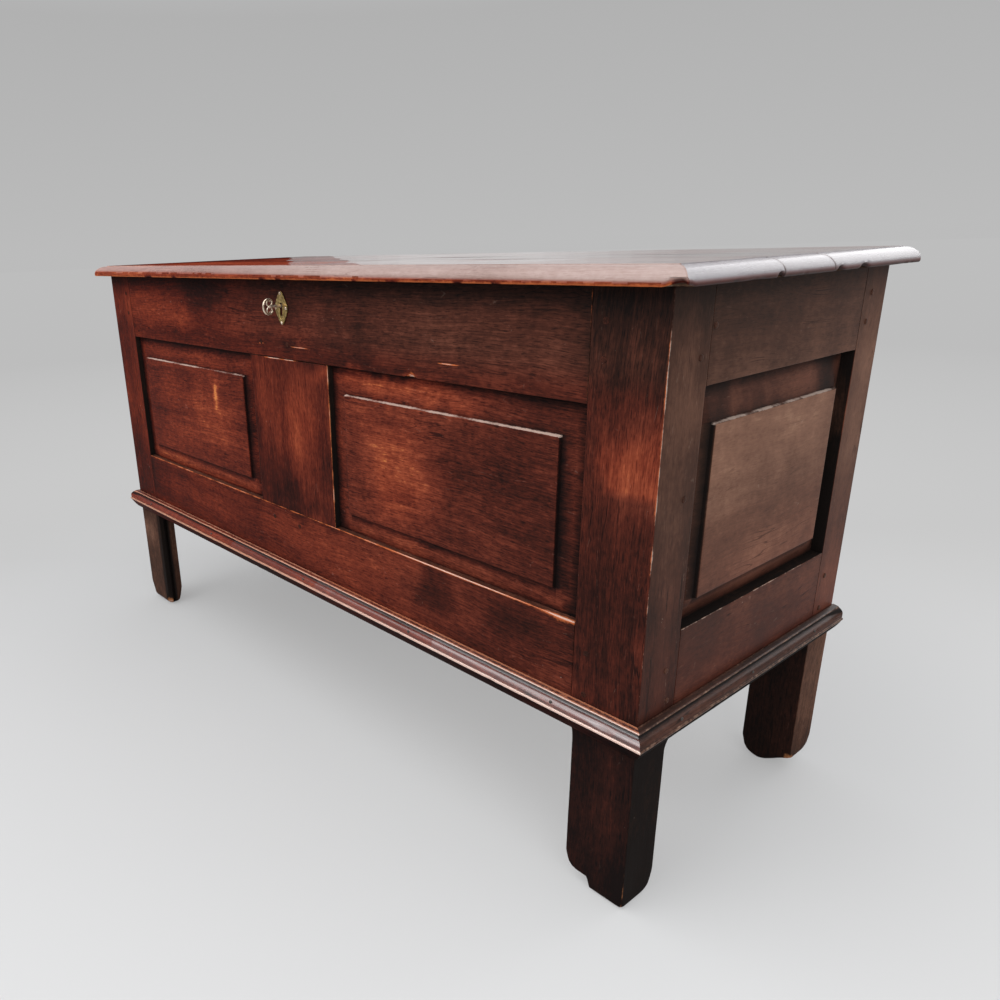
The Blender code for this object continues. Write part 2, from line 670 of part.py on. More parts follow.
# Strap hinges: the strap's knuckle turns between the plate's two
hinge_centre = (HINGE_Y, HINGE_Z)
root = HINGE_Y - KNUCKLE_RADIUS - PLAY
for side, place in hinge_places.items():
    half = HINGE_WIDTH / 2
    tip = STRAP_TIP_WIDTH / 2
    mid = KNUCKLE_LENGTH / 2
    end = HINGE_Y - STRAP_LENGTH
    outline = [(half, root), (tip, end + STRAP_POINT), (0.0, end), (-tip, end + STRAP_POINT), (-half, root)]
    strap = [[(place + a, b, height) for a, b in outline] for height in (strap_under, strap_top)]
    bore = HINGE_PIN_RADIUS + FIT
    full = (place - half, place + half)
    pin_bore = turned("X", hinge_centre, [(full[0] - PAST, bore), (full[1] + PAST, bore)])
    barrel = turned("X", hinge_centre, [(place - mid, KNUCKLE_RADIUS), (place + mid, KNUCKLE_RADIUS)])
    tongue = box((place - mid, place + mid), (root - PAST, HINGE_Y - HINGE_LAP), (strap_under, strap_top))
    piece(f"hinge_strap_{side}", "iron", strap, [tongue, barrel], [pin_bore], HINGE_AXIS)
    plate_y = (BACK + FIT + HINGE_LAP, BACK + FIT + HINGE_LAP + HINGE_THICK)
    plate_top = HINGE_Z - KNUCKLE_RADIUS - PLAY
    joined = []
    for near, far in ((place - half, place - mid - FIT), (place + mid + FIT, place + half)):
        joined.append(box((near, far), plate_y, (plate_top - PAST, HINGE_Z - HINGE_LAP)))
        joined.append(turned("X", hinge_centre, [(near, KNUCKLE_RADIUS), (far, KNUCKLE_RADIUS)]))
    plate = box(full, plate_y, (HINGE_Z - HINGE_PLATE_HEIGHT, plate_top))
    piece(f"hinge_plate_{side}", "iron", plate, joined, [pin_bore])
    piece(f"hinge_pin_{side}", "iron", turned("X", hinge_centre, [(full[0], HINGE_PIN_RADIUS), (full[1], HINGE_PIN_RADIUS)]))

# Lock plate and case on the inside of the rail
plate_front = RAIL_INSIDE + FIT
plate_back = plate_front + LOCK_PLATE_THICK
case_front = plate_back + FIT
case_back = case_front + CASE_DEPTH
case_x = (KEY_X - CASE_WIDTH / 2, KEY_X + CASE_WIDTH / 2)
case_z = (KEY_Z - CASE_BELOW, KEY_Z + CASE_ABOVE)
piece(
    "lock_plate",
    "iron",
    box(grown([case_x], LOCK_PLATE_EAR)[0], (plate_front, plate_back), grown([case_z], LOCK_PLATE_MARGIN)[0]),
    cut=[keyhole((plate_front - PAST, plate_back + PAST), FIT)],
)
inside_back = case_back - CASE_WALL
bolt_y = ((case_front + inside_back - BOLT_THICK) / 2, (case_front + inside_back + BOLT_THICK) / 2)
bolt_z = (KEY_Z + BOLT_RISE, KEY_Z + BOLT_RISE + BOLT_HEIGHT)
staple_x = (KEY_X + BOLT_NOSE + STAPLE_GAP, KEY_X + BOLT_NOSE + STAPLE_GAP + STAPLE_THICK)
eye_y = (bolt_y[0] - PLAY, bolt_y[1] + PLAY)
eye_z = bolt_z[0] - PLAY
guide_x = (case_x[0] + CASE_WALL / 2, case_x[0] + CASE_WALL + GUIDE_LENGTH)
guide_y = (bolt_y[0], inside_back + CASE_WALL / 2)
staple_slot = box(
    grown([staple_x], PLAY)[0],
    (case_front - PAST, eye_y[1] + STAPLE_WIRE + PLAY),
    (case_z[1] - CASE_WALL - PAST, case_z[1] + PAST),
)
walls = [
    box(case_x, (inside_back, case_back), case_z),
    box((case_x[0], case_x[0] + CASE_WALL), (case_front, case_back), case_z),
    box((case_x[1] - CASE_WALL, case_x[1]), (case_front, case_back), case_z),
    box(case_x, (case_front, case_back), (case_z[0], case_z[0] + CASE_WALL)),
    box(case_x, (case_front, case_back), (case_z[1] - CASE_WALL, case_z[1])),
]
guides = [
    box(guide_x, guide_y, (bolt_z[0] - FIT - GUIDE_THICK, bolt_z[0] - FIT)),
    box(guide_x, guide_y, (bolt_z[1] + FIT, bolt_z[1] + FIT + GUIDE_THICK)),
]
piece("lock_case", "iron", walls[0], walls[1:] + guides, [staple_slot])

# Bolt, with a notch wide enough for the bit to pass while the bolt slides in step with the key
corner = math.hypot(BIT_REACH, BIT_THICK / 2)
spread = math.acos(BOLT_RISE / corner)
sweep = corner * math.sin(spread)
entry = BOLT_TRAVEL * (math.pi - spread) / (2 * math.pi)
leave = BOLT_TRAVEL * (math.pi + spread) / (2 * math.pi)
bolt_x = (KEY_X - BOLT_TAIL, KEY_X + BOLT_NOSE)
talon = box(
    (KEY_X - sweep - entry - PLAY, KEY_X + sweep - leave + PLAY),
    grown([bolt_y], PAST)[0],
    (bolt_z[0] - PAST, KEY_Z + corner + PLAY),
)
bolt_origin = (KEY_X, (bolt_y[0] + bolt_y[1]) / 2, (bolt_z[0] + bolt_z[1]) / 2)
piece("lock_bolt", "steel", box(bolt_x, bolt_y, bolt_z), cut=[talon], origin=bolt_origin)

# Staple under the lid, whose eye takes the bolt
staple_plate_z = (LID_UNDER - FIT - STAPLE_PLATE_THICK, LID_UNDER - FIT)
staple_middle = (staple_x[0] + staple_x[1]) / 2
staple_plate_x = (staple_middle - STAPLE_PLATE_WIDTH / 2, staple_middle + STAPLE_PLATE_WIDTH / 2)
staple_plate_y = (RAIL_INSIDE + PLAY, RAIL_INSIDE + PLAY + STAPLE_PLATE_DEPTH)
leg_z = (eye_z - STAPLE_BAR, staple_plate_z[1])
loop = [
    box(staple_x, (eye_y[0] - STAPLE_WIRE, eye_y[0]), leg_z),
    box(staple_x, (eye_y[1], eye_y[1] + STAPLE_WIRE), leg_z),
    box(staple_x, (eye_y[0] - STAPLE_WIRE, eye_y[1] + STAPLE_WIRE), (eye_z - STAPLE_BAR, eye_z)),
]
piece("lid_staple", "iron", box(staple_plate_x, staple_plate_y, staple_plate_z), loop, origin=HINGE_AXIS)

# Escutcheon and its pins
plate_y = (FRONT - FIT - ESCUTCHEON_THICK, FRONT - FIT)
outline = []
for i in range(48):
    angle = 2 * math.pi * i / 48
    waist = 1 - ESCUTCHEON_WAIST * math.sin(2 * angle) ** 2
    outline.append((KEY_X + ESCUTCHEON_WIDTH / 2 * waist * math.cos(angle),
                    escutcheon_z + ESCUTCHEON_HEIGHT / 2 * waist * math.sin(angle)))
plate = [[(a, depth, b) for a, b in outline] for depth in plate_y]
piece("escutcheon", "brass", plate, cut=[keyhole((plate_y[0] - PAST, plate_y[1] + PAST), FIT), *pin_bores])
head_under = plate_y[0] - FIT
for name, place in pins.items():
    profile = []
    for i in range(1, 5):
        angle = math.pi / 2 * i / 4
        profile.append((head_under - PIN_HEAD_HEIGHT * math.cos(angle), PIN_HEAD_RADIUS * math.sin(angle)))
    profile += [(head_under, PIN_SHANK_RADIUS), (FRONT + PIN_LENGTH, PIN_SHANK_RADIUS)]
    piece(name, "brass", turned("Y", place, profile, 12))

# Key: oval bow, collared shank and bit
bow_tip = FRONT - KEY_REACH
bow_end = bow_tip + BOW_LENGTH
key_end = inside_back - PLAY
centre = (bow_tip + BOW_LENGTH / 2, KEY_Z)


def oval(inset):
    """Oval through the bow's thickness, drawn in by an inset."""
    ring = []
    for i in range(28):
        angle = 2 * math.pi * i / 28
        ring.append((centre[0] + (BOW_LENGTH / 2 - inset) * math.cos(angle),
                     centre[1] + (BOW_HEIGHT / 2 - inset) * math.sin(angle)))
    reach = BOW_THICK / 2 + (PAST if inset else 0.0)
    return [[(KEY_X + across_bow, a, b) for a, b in ring] for across_bow in (-reach, reach)]


shank = turned("Y", (KEY_X, KEY_Z), [
    (bow_end - BOW_WALL / 2, SHANK_RADIUS),
    (bow_end + COLLAR_LENGTH / 2, SHANK_RADIUS),
    (bow_end + COLLAR_LENGTH / 2, COLLAR_RADIUS),
    (bow_end + COLLAR_LENGTH * 1.5, COLLAR_RADIUS),
    (bow_end + COLLAR_LENGTH * 1.5, SHANK_RADIUS),
    (key_end, SHANK_RADIUS),
], 16)
bit_middle = (bolt_y[0] + bolt_y[1]) / 2
bit = box(
    (KEY_X - BIT_THICK / 2, KEY_X + BIT_THICK / 2),
    (bit_middle - BIT_LENGTH / 2, bit_middle + BIT_LENGTH / 2),
    (KEY_Z - BIT_REACH, KEY_Z),
)
piece("key", "brass", shank, [oval(0.0), bit], [oval(BOW_WALL)], KEY_AXIS)
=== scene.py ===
"""Looks of the wooden coffer: worn polished boards, brass and iron over the fixed frame, on a pale floor.

Lengths are in metres. X runs along the front, Y from the front to the back and Z up, as in the frame.
"""

import json
import math

import bpy
import numpy as np
from mathutils import Matrix, Vector, noise

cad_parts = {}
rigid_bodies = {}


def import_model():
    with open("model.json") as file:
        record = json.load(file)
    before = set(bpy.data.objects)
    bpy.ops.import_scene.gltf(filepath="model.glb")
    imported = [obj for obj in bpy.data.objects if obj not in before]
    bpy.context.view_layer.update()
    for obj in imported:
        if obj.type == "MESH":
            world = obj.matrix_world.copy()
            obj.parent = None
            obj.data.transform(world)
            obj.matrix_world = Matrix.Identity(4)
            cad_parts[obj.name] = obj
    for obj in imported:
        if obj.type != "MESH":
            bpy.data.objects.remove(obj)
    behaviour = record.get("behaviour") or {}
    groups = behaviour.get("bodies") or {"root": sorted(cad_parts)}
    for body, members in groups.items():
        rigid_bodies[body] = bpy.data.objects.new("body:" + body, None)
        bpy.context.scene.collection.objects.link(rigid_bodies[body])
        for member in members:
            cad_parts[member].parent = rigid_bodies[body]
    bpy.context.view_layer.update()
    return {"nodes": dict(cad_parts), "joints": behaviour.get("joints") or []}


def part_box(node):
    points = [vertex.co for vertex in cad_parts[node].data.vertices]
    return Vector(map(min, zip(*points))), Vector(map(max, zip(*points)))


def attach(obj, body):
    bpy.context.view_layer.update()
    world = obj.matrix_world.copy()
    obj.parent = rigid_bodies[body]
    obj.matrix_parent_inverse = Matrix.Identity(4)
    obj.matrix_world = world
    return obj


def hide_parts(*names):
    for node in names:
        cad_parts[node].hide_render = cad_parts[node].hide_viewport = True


for old in list(bpy.data.objects):
    bpy.data.objects.remove(old, do_unlink=True)
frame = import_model()
BOX = {name: tuple(np.array(corner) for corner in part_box(name)) for name in frame["nodes"]}

# Planes taken from the frame
GAP = 0.0003
LEFT, FRONT = BOX["front_left_post"][0][:2]
RIGHT, BACK = BOX["back_right_post"][1][:2]
TOP = BOX["front_top_rail"][1][2]
RAIL_UNDER = BOX["front_bottom_rail"][0][2]
FRONT_IN = BOX["front_top_rail"][1][1]
BACK_IN = BOX["back_top_rail"][0][1]
SIDE_IN = BOX["right_top_rail"][0][0]
POST_LEFT_IN = BOX["front_left_post"][1][0]
POST_RIGHT_IN = BOX["front_right_post"][0][0]
POST_FRONT_IN = BOX["front_right_post"][1][1]
POST_BACK_IN = BOX["back_right_post"][0][1]
BACK_POST_IN = BOX["back_right_post"][0][0]

# Grid of the boards: step, least spacing, half width of a sharp step, slack when heights are compared, and
# the bands of wear and grime at an edge
STEP = 0.011
LEAST = 0.0002
HALF_STEP = 0.0002
HAIR = 1e-6
EDGE_BAND = 0.0032
BUTT_BAND = 0.012

# Arris rounding, free and where a board butts, and the hand-planed unevenness of a face
SOFT = 0.0012
TIGHT = 0.0004
BUTT_REACH = 0.004
WAVE = 0.0005

SIDES = {"x-": 0, "y-": 1, "z-": 2, "x+": 3, "y+": 4, "z+": 5}


# Node helpers
def add(tree, kind, inputs=(), **settings):
    """One shader node with its settings, and its inputs linked or set."""
    made = tree.nodes.new(kind)
    for key, value in settings.items():
        setattr(made, key, value)
    for key, value in dict(inputs).items():
        if isinstance(value, bpy.types.NodeSocket):
            tree.links.new(value, made.inputs[key])
        else:
            made.inputs[key].default_value = value
    return made


def calc(tree, operation, a, b=0.0, c=0.0, clamp=False):
    return add(tree, "ShaderNodeMath", {0: a, 1: b, 2: c}, operation=operation, use_clamp=clamp).outputs[0]


def times(tree, value, factor, plus=0.0):
    """A value times a factor, plus another value."""
    return calc(tree, "MULTIPLY_ADD", value, factor, plus)


def grain_noise(tree, vector, scale, detail=2.0, rough=0.5):
    """Noise of one scale, or of one scale along the grain and one across it."""
    if isinstance(scale, tuple):
        stretch = (scale[0], scale[1], scale[1])
        vector = add(tree, "ShaderNodeVectorMath", {0: vector, 1: stretch}, operation="MULTIPLY").outputs[0]
        scale = 1.0
    inputs = {"Vector": vector, "Scale": scale, "Detail": detail, "Roughness": rough}
    return add(tree, "ShaderNodeTexNoise", inputs).outputs[0]


def spread(tree, value, low, high, to_low=0.0, to_high=1.0):
    """Map Range, clamped and smooth."""
    inputs = {0: value, 1: low, 2: high, 3: to_low, 4: to_high}
    return add(tree, "ShaderNodeMapRange", inputs, interpolation_type="SMOOTHSTEP").outputs[0]


def lines_of(tree, value, width):
    """Thin lines where a noise passes its middle."""
    return spread(tree, calc(tree, "ABSOLUTE", calc(tree, "SUBTRACT", value, 0.5)), 0.0, width, 1.0, 0.0)


def blend(tree, factor, a, b, mode="MIX"):
    mixed = add(tree, "ShaderNodeMix", {0: factor, 6: a, 7: b}, data_type="RGBA", blend_type=mode)
    return mixed.outputs[2]


def ramp(tree, value, places, colours):
    made = add(tree, "ShaderNodeValToRGB", {0: value})
    elements = made.color_ramp.elements
    while len(elements) < len(places):
        elements.new(0.5)
    for element, place, colour in zip(elements, places, colours):
        element.position = place
        element.color = (*colour, 1.0)
    return made.outputs[0]


def shader_of(name):
    material = bpy.data.materials.new(name)
    material.use_nodes = True
    tree = material.node_tree
    return material, tree, tree.nodes["Principled BSDF"]


# Wood colours at each place on the ramp, from shade to glow
PLACES = (0.0, 0.25, 0.45, 0.65, 0.85, 1.0)
BROWN = ((0.013, 0.010, 0.009), (0.032, 0.0175, 0.0130), (0.072, 0.0345, 0.0235),
         (0.146, 0.0720, 0.0475), (0.246, 0.1300, 0.0860), (0.370, 0.2200, 0.1450))
RED = ((0.008, 0.0048, 0.0048), (0.028, 0.0080, 0.0066), (0.078, 0.0132, 0.0084),
       (0.162, 0.0275, 0.0138), (0.300, 0.0610, 0.0260), (0.600, 0.1950, 0.0580))
# Pink grey on the lid's edge and lilac grey on its ends are a painted reflection of the pale sky
PINK_SHEEN = ((0.060, 0.035, 0.030), (0.140, 0.080, 0.065), (0.260, 0.165, 0.140),
        (0.360, 0.250, 0.220), (0.460, 0.350, 0.320), (0.560, 0.460, 0.430))
DRY = ((0.026, 0.014, 0.009), (0.062, 0.032, 0.018), (0.112, 0.058, 0.032),
       (0.165, 0.089, 0.049), (0.235, 0.135, 0.079), (0.330, 0.205, 0.125))
LILAC_SHEEN = ((0.080, 0.062, 0.060), (0.170, 0.135, 0.132), (0.270, 0.235, 0.240),
         (0.350, 0.325, 0.338), (0.430, 0.412, 0.430), (0.520, 0.505, 0.530))

# Colours of the lid's rubbed arrises, of nicks and of bare wood
RUBBED = (0.50, 0.135, 0.045)
NICK = (0.46, 0.37, 0.30)
PALE = (0.64, 0.42, 0.34)

# Each kind of wood: colours of polished faces, of faded faces with their painted sky sheen and of a rubbed
# arris; least and most roughness and what grime adds to it; gloss, refraction and wax coat; strength of the
# figure, the fibre, the mottle and the blotches; base shade and strength of the relief
MOULD_GRAIN = (0.30, 0.34, 0.30, 0.40)
DRY_GRAIN = (0.50, 0.50, 0.40, 0.55)
KINDS = {
    "frame": (RED, BROWN, (0.48, 0.125, 0.042), (0.28, 0.48, 0.2), (0.008, 1.5, 0.0),
              (0.46, 0.50, 0.34, 0.60), (0.47, 0.22)),
    "leg": (RED, BROWN, (0.32, 0.13, 0.055), (0.40, 0.60, 0.1), (0.01, 1.5, 0.0),
            (0.36, 0.42, 0.34, 0.58), (0.44, 0.25)),
    "panel": (RED, BROWN, (0.50, 0.36, 0.30), (0.26, 0.46, 0.2), (0.012, 1.5, 0.0),
              (0.48, 0.58, 0.44, 0.62), (0.49, 0.20)),
    "side": (RED, BROWN, (0.48, 0.37, 0.31), (0.32, 0.44, 0.2), (0.035, 1.5, 0.0),
             (0.30, 0.18, 0.22, 0.64), (0.46, 0.10)),
    "mould": (RED, BROWN, (0.46, 0.17, 0.085), (0.13, 0.30, 0.3), (1.0, 1.65, 0.4),
              MOULD_GRAIN, (0.48, 0.08)),
    "mould_1": (RED, BROWN, (0.46, 0.22, 0.14), (0.16, 0.32, 0.3), (0.10, 1.5, 0.0),
                MOULD_GRAIN, (0.56, 0.08)),
    "mould_2": (RED, BROWN, (0.46, 0.20, 0.12), (0.15, 0.31, 0.3), (0.35, 1.5, 0.0),
                MOULD_GRAIN, (0.54, 0.08)),
    "mould_3": (RED, BROWN, (0.46, 0.16, 0.08), (0.14, 0.30, 0.3), (0.75, 1.5, 0.15),
                MOULD_GRAIN, (0.50, 0.08)),
    "side_mould": (RED, BROWN, (0.36, 0.22, 0.15), (0.20, 0.36, 0.3), (0.10, 1.5, 0.0),
                   (0.30, 0.34, 0.30, 0.50), (0.44, 0.10)),
    "lid": (RED, PINK_SHEEN, RUBBED, (0.05, 0.13, 0.4), (0.50, 1.5, 0.0),
            (0.36, 0.36, 0.34, 0.50), (0.56, 0.05)),
    "half_lid": (RED, PINK_SHEEN, RUBBED, (0.10, 0.22, 0.4), (0.004, 1.5, 0.0), DRY_GRAIN, (0.60, 0.08)),
    "dry_lid": (RED, PINK_SHEEN, RUBBED, (0.40, 0.55, 0.2), (0.0, 1.5, 0.0), DRY_GRAIN, (0.60, 0.10)),
    "lid_edge": (RED, PINK_SHEEN, (0.42, 0.105, 0.042), (0.24, 0.36, 0.3), (0.22, 1.5, 0.0),
                 (0.34, 0.24, 0.26, 0.40), (0.56, 0.08)),
    "lid_end": (RED, LILAC_SHEEN, (0.36, 0.20, 0.15), (0.22, 0.34, 0.3), (0.25, 1.5, 0.0),
                (0.20, 0.14, 0.12, 0.34), (0.59, 0.04)),
    "inside": (DRY, DRY, (0.34, 0.23, 0.15), (0.62, 0.82, 0.1), (0.15, 1.5, 0.0),
               (0.36, 0.42, 0.34, 0.58), (0.46, 0.30)),
}
COAT_ROUGHNESS = 0.10
RELIEF_HEIGHT = 0.0006
TURNS = ((0.0, 0.0, 0.0), (0.0, 0.0, -math.pi / 2), (0.0, math.pi / 2, 0.0))
made_woods = {}


def wood(kind, axis, seed):
    """Stained, waxed wood with grain along one axis; its tone attribute is wear, glow as painted light, grime
    with painted shade, and fading with a painted sheen.
    """
    key = f"{kind}_wood_{'xyz'[axis]}_{seed}"
    if key in made_woods:
        return made_woods[key]
    polished, faded_and_sheen, worn, (smoothest, roughest, dulling), finish, grain, (base, relief) = KINDS[kind]
    material, tree, shader = shader_of(key)
    place = add(tree, "ShaderNodeTexCoord").outputs["Object"]
    mapping = {"Vector": place, "Location": (0.37 * seed, 0.61 * seed, 0.23 * seed), "Rotation": TURNS[axis]}
    along = add(tree, "ShaderNodeMapping", mapping).outputs[0]
    drift = add(tree, "ShaderNodeTexNoise", {"Vector": along, "Scale": 2.6, "Detail": 2.0}).outputs[1]
    bend = {0: drift, 1: (0.0, 0.045, 0.045), 2: along}
    bent = add(tree, "ShaderNodeVectorMath", bend, operation="MULTIPLY_ADD").outputs[0]
    figure = grain_noise(tree, bent, (1.6, 30.0), 3.0, 0.55)
    fibre = grain_noise(tree, bent, (14.0, 480.0), 3.0, 0.65)
    pores = spread(tree, grain_noise(tree, bent, (90.0, 1100.0), 1.0, 0.5), 0.54, 0.70)
    mottle = grain_noise(tree, along, (110.0, 190.0), 3.0, 0.65)
    blotch = grain_noise(tree, along, 9.0, 5.0, 0.66)
    speck = grain_noise(tree, along, 260.0, 2.0, 0.6)
    strands = grain_noise(tree, bent, (2.2, 62.0), 2.0, 0.5)
    scores = grain_noise(tree, along, (6.0, 36.0), 1.0, 0.4)
    cracks = times(tree, lines_of(tree, strands, 0.010), spread(tree, blotch, 0.50, 0.60))
    scratches = times(tree, lines_of(tree, scores, 0.004), spread(tree, mottle, 0.52, 0.66))
    tone = add(tree, "ShaderNodeAttribute", attribute_name="tone")
    wear, glow, grime_and_shade = add(tree, "ShaderNodeSeparateColor", {0: tone.outputs[0]}).outputs
    fading_and_sheen = tone.outputs["Alpha"]

    value = calc(tree, "ADD", glow, base - 0.5 - 0.5 * sum(grain))
    layers = list(zip((figure, fibre, mottle, blotch), grain))
    layers += [(pores, -0.36 * grain[1]), (cracks, -0.24), (grime_and_shade, -0.44)]
    for layer, strength in layers:
        value = times(tree, layer, strength, value)
    colour = blend(tree, fading_and_sheen, ramp(tree, value, PLACES, polished), ramp(tree, value, PLACES, faded_and_sheen))
    broken = times(tree, speck, 0.40, times(tree, mottle, 0.40))
    rubbed = spread(tree, times(tree, wear, 0.75, broken), 0.68, 1.02)
    bare = blend(tree, spread(tree, wear, 0.86, 1.06), (*worn, 1.0), (*PALE, 1.0))
    colour = blend(tree, rubbed, colour, bare)
    dots = times(tree, spread(tree, speck, 0.72, 0.78, 0.0, 0.6), spread(tree, blotch, 0.56, 0.66))
    nicks = calc(tree, "MAXIMUM", times(tree, scratches, 0.12), dots)
    nicks = times(tree, nicks, calc(tree, "SUBTRACT", 1.0, grime_and_shade))
    colour = blend(tree, nicks, colour, (*NICK, 1.0))
    tree.links.new(colour, shader.inputs["Base Color"])

    dull = times(tree, fibre, 0.45, times(tree, blotch, 0.6))
    rough = times(tree, grime_and_shade, dulling, spread(tree, dull, 0.3, 0.75, smoothest, roughest))
    tree.links.new(rough, shader.inputs["Roughness"])
    for socket, number in zip(("Specular IOR Level", "IOR", "Coat Weight"), finish):
        shader.inputs[socket].default_value = number
    shader.inputs["Coat Roughness"].default_value = COAT_ROUGHNESS

    height = times(tree, fibre, 0.6, times(tree, pores, -0.4))
    height = times(tree, mottle, 0.5, times(tree, cracks, -0.8, height))
    bump = add(tree, "ShaderNodeBump", {"Strength": relief, "Distance": RELIEF_HEIGHT, "Height": height})
    tree.links.new(bump.outputs[0], shader.inputs["Normal"])
    made_woods[key] = material
    return material


def metal(name, dark, bright, rough, scale, metallic=1.0):
    """Aged metal: patina in patches, brighter where it is rubbed, with fine pitting."""
    material, tree, shader = shader_of(name)
    place = add(tree, "ShaderNodeTexCoord").outputs["Object"]
    patches = grain_noise(tree, place, scale, 4.0, 0.62)
    pits = grain_noise(tree, place, scale * 9.0, 2.0, 0.5)
    worn = add(tree, "ShaderNodeNewGeometry").outputs["Pointiness"]
    rubbed = spread(tree, worn, 0.50, 0.60, 0.0, 0.5)
    value = calc(tree, "ADD", spread(tree, patches, 0.35, 0.68, 0.0, 0.8), rubbed, clamp=True)
    tree.links.new(blend(tree, value, (*dark, 1.0), (*bright, 1.0)), shader.inputs["Base Color"])
    tree.links.new(spread(tree, patches, 0.3, 0.7, rough[1], rough[0]), shader.inputs["Roughness"])
    shader.inputs["Metallic"].default_value = metallic
    bump = add(tree, "ShaderNodeBump", {"Strength": 0.25, "Distance": 0.0003, "Height": pits})
    tree.links.new(bump.outputs[0], shader.inputs["Normal"])
    return material


BRASS = metal("aged_brass", (0.16, 0.105, 0.03), (0.62, 0.44, 0.17), (0.22, 0.42), 260.0, 0.9)
KEY_BRASS = metal("handled_brass", (0.40, 0.29, 0.19), (0.82, 0.68, 0.54), (0.14, 0.30), 180.0, 0.75)
IRON = metal("wrought_iron", (0.020, 0.018, 0.017), (0.095, 0.085, 0.078), (0.42, 0.66), 70.0, 0.8)
STEEL = metal("worn_steel", (0.16, 0.15, 0.14), (0.46, 0.45, 0.44), (0.28, 0.48), 90.0)


# Meshes
def field(points, scale, seed=0.0):
    """Smooth noise from 0 to 1 at each point."""
    return np.array([0.5 + 0.5 * noise.noise((x * scale + seed, y * scale, z * scale)) for x, y, z in points])


def smooth(value, low, high):
    share = np.clip((value - low) / (high - low), 0, 1)
    return share * share * (3 - 2 * share)


def tent(distance, reach):
    """1 at no distance, falling to 0 at the reach."""
    return np.clip(1 - distance / reach, 0, 1)


def every(corner, points):
    """One corner repeated for each point."""
    return np.repeat(corner[None], len(points), 0)


def beside(edges):
    """Grid lines on both sides of each edge, for a sharp step there."""
    return [edge + side for edge in edges for side in (-HALF_STEP, HALF_STEP)]


def lines_between(low, high, step, soft, extra=()):
    """Grid lines along one axis: even steps, closer at both rounded ends, and the extra ones."""
    count = max(1, round((high - low) / step))
    found = [low + (high - low) * i / count for i in range(1, count)]
    for offset in (0.3 * soft, soft, 2.4 * soft, EDGE_BAND):
        if offset < (high - low) / 2:
            found += [low + offset, high - offset]
    found += [value for value in extra if low < value < high]
    kept = [low]
    for value in sorted(found):
        if value - kept[-1] > LEAST and high - value > LEAST:
            kept.append(value)
    return np.array([*kept, high])


def shell(xs, ys, zs):
    """Points and outward quads of a box's surface grid."""
    size = (len(xs), len(ys), len(zs))
    outer = np.ones(size, bool)
    outer[1:-1, 1:-1, 1:-1] = False
    ids = np.full(size, -1)
    ids[outer] = np.arange(outer.sum())
    points = np.stack(np.meshgrid(xs, ys, zs, indexing="ij"), -1)[outer]
    quads = []
    for axis in range(3):
        for end in (0, -1):
            sheet = np.take(ids, end, axis)
            corners = (sheet[:-1, :-1], sheet[1:, :-1], sheet[1:, 1:], sheet[:-1, 1:])
            found = np.stack(corners, -1).reshape(-1, 4)
            quads.append(found[:, ::-1] if (end == 0) != (axis == 1) else found)
    return points, np.concatenate(quads)


def ring_faces(rings, sides):
    """Quads between closed rings of points, and a cap at each end."""
    faces = []
    for ring in range(rings - 1):
        for i in range(sides):
            j = (i + 1) % sides
            faces.append((ring * sides + i, ring * sides + j, (ring + 1) * sides + j, (ring + 1) * sides + i))
    last = (rings - 1) * sides
    return faces + [list(range(sides))[::-1], [last + i for i in range(sides)]]


def turned_over(faces):
    return [face[::-1] for face in faces]


def edge_tone(points, low, high, worn, butts, base):
    """Wear along the arrises, and darkening beside the butted ends of a box."""
    gaps = np.concatenate([points - low, high - points], 1)
    wear = np.zeros(len(points))
    for a, first in SIDES.items():
        for b, second in SIDES.items():
            if a[0] < b[0]:
                near = tent(gaps[:, first] + gaps[:, second], EDGE_BAND)
                wear = np.maximum(wear, near * worn.get(a + b, base))
    grime_and_shade = np.zeros(len(points))
    for side in butts:
        grime_and_shade = np.maximum(grime_and_shade, tent(gaps[:, SIDES[side]], BUTT_BAND) * 0.12)
    return wear, grime_and_shade


def show(name, points, faces, material, slot, body, nodes=(), tone=None, sharp=42.0, also=()):
    """One piece from its points and faces; also holds further materials, each with the faces it covers."""
    mesh = bpy.data.meshes.new(name)
    mesh.from_pydata(np.asarray(points).tolist(), [], [list(map(int, face)) for face in faces])
    if tone is not None:
        layer = mesh.color_attributes.new("tone", "FLOAT_COLOR", "POINT")
        colours = np.stack([np.broadcast_to(channel, len(points)) for channel in tone], 1).astype(np.float32)
        layer.data.foreach_set("color", colours.ravel())
    mesh.materials.append(material)
    index = np.zeros(len(faces), np.int32)
    for number, (other, covered) in enumerate(also, 1):
        mesh.materials.append(other)
        index[np.asarray(covered, bool)] = number
    mesh.polygons.foreach_set("material_index", index)
    mesh.shade_smooth()
    mesh.set_sharp_from_angle(angle=math.radians(sharp))
    obj = bpy.data.objects.new(name, mesh)
    bpy.context.scene.collection.objects.link(obj)
    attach(obj, body)
    if nodes:
        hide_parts(*nodes)
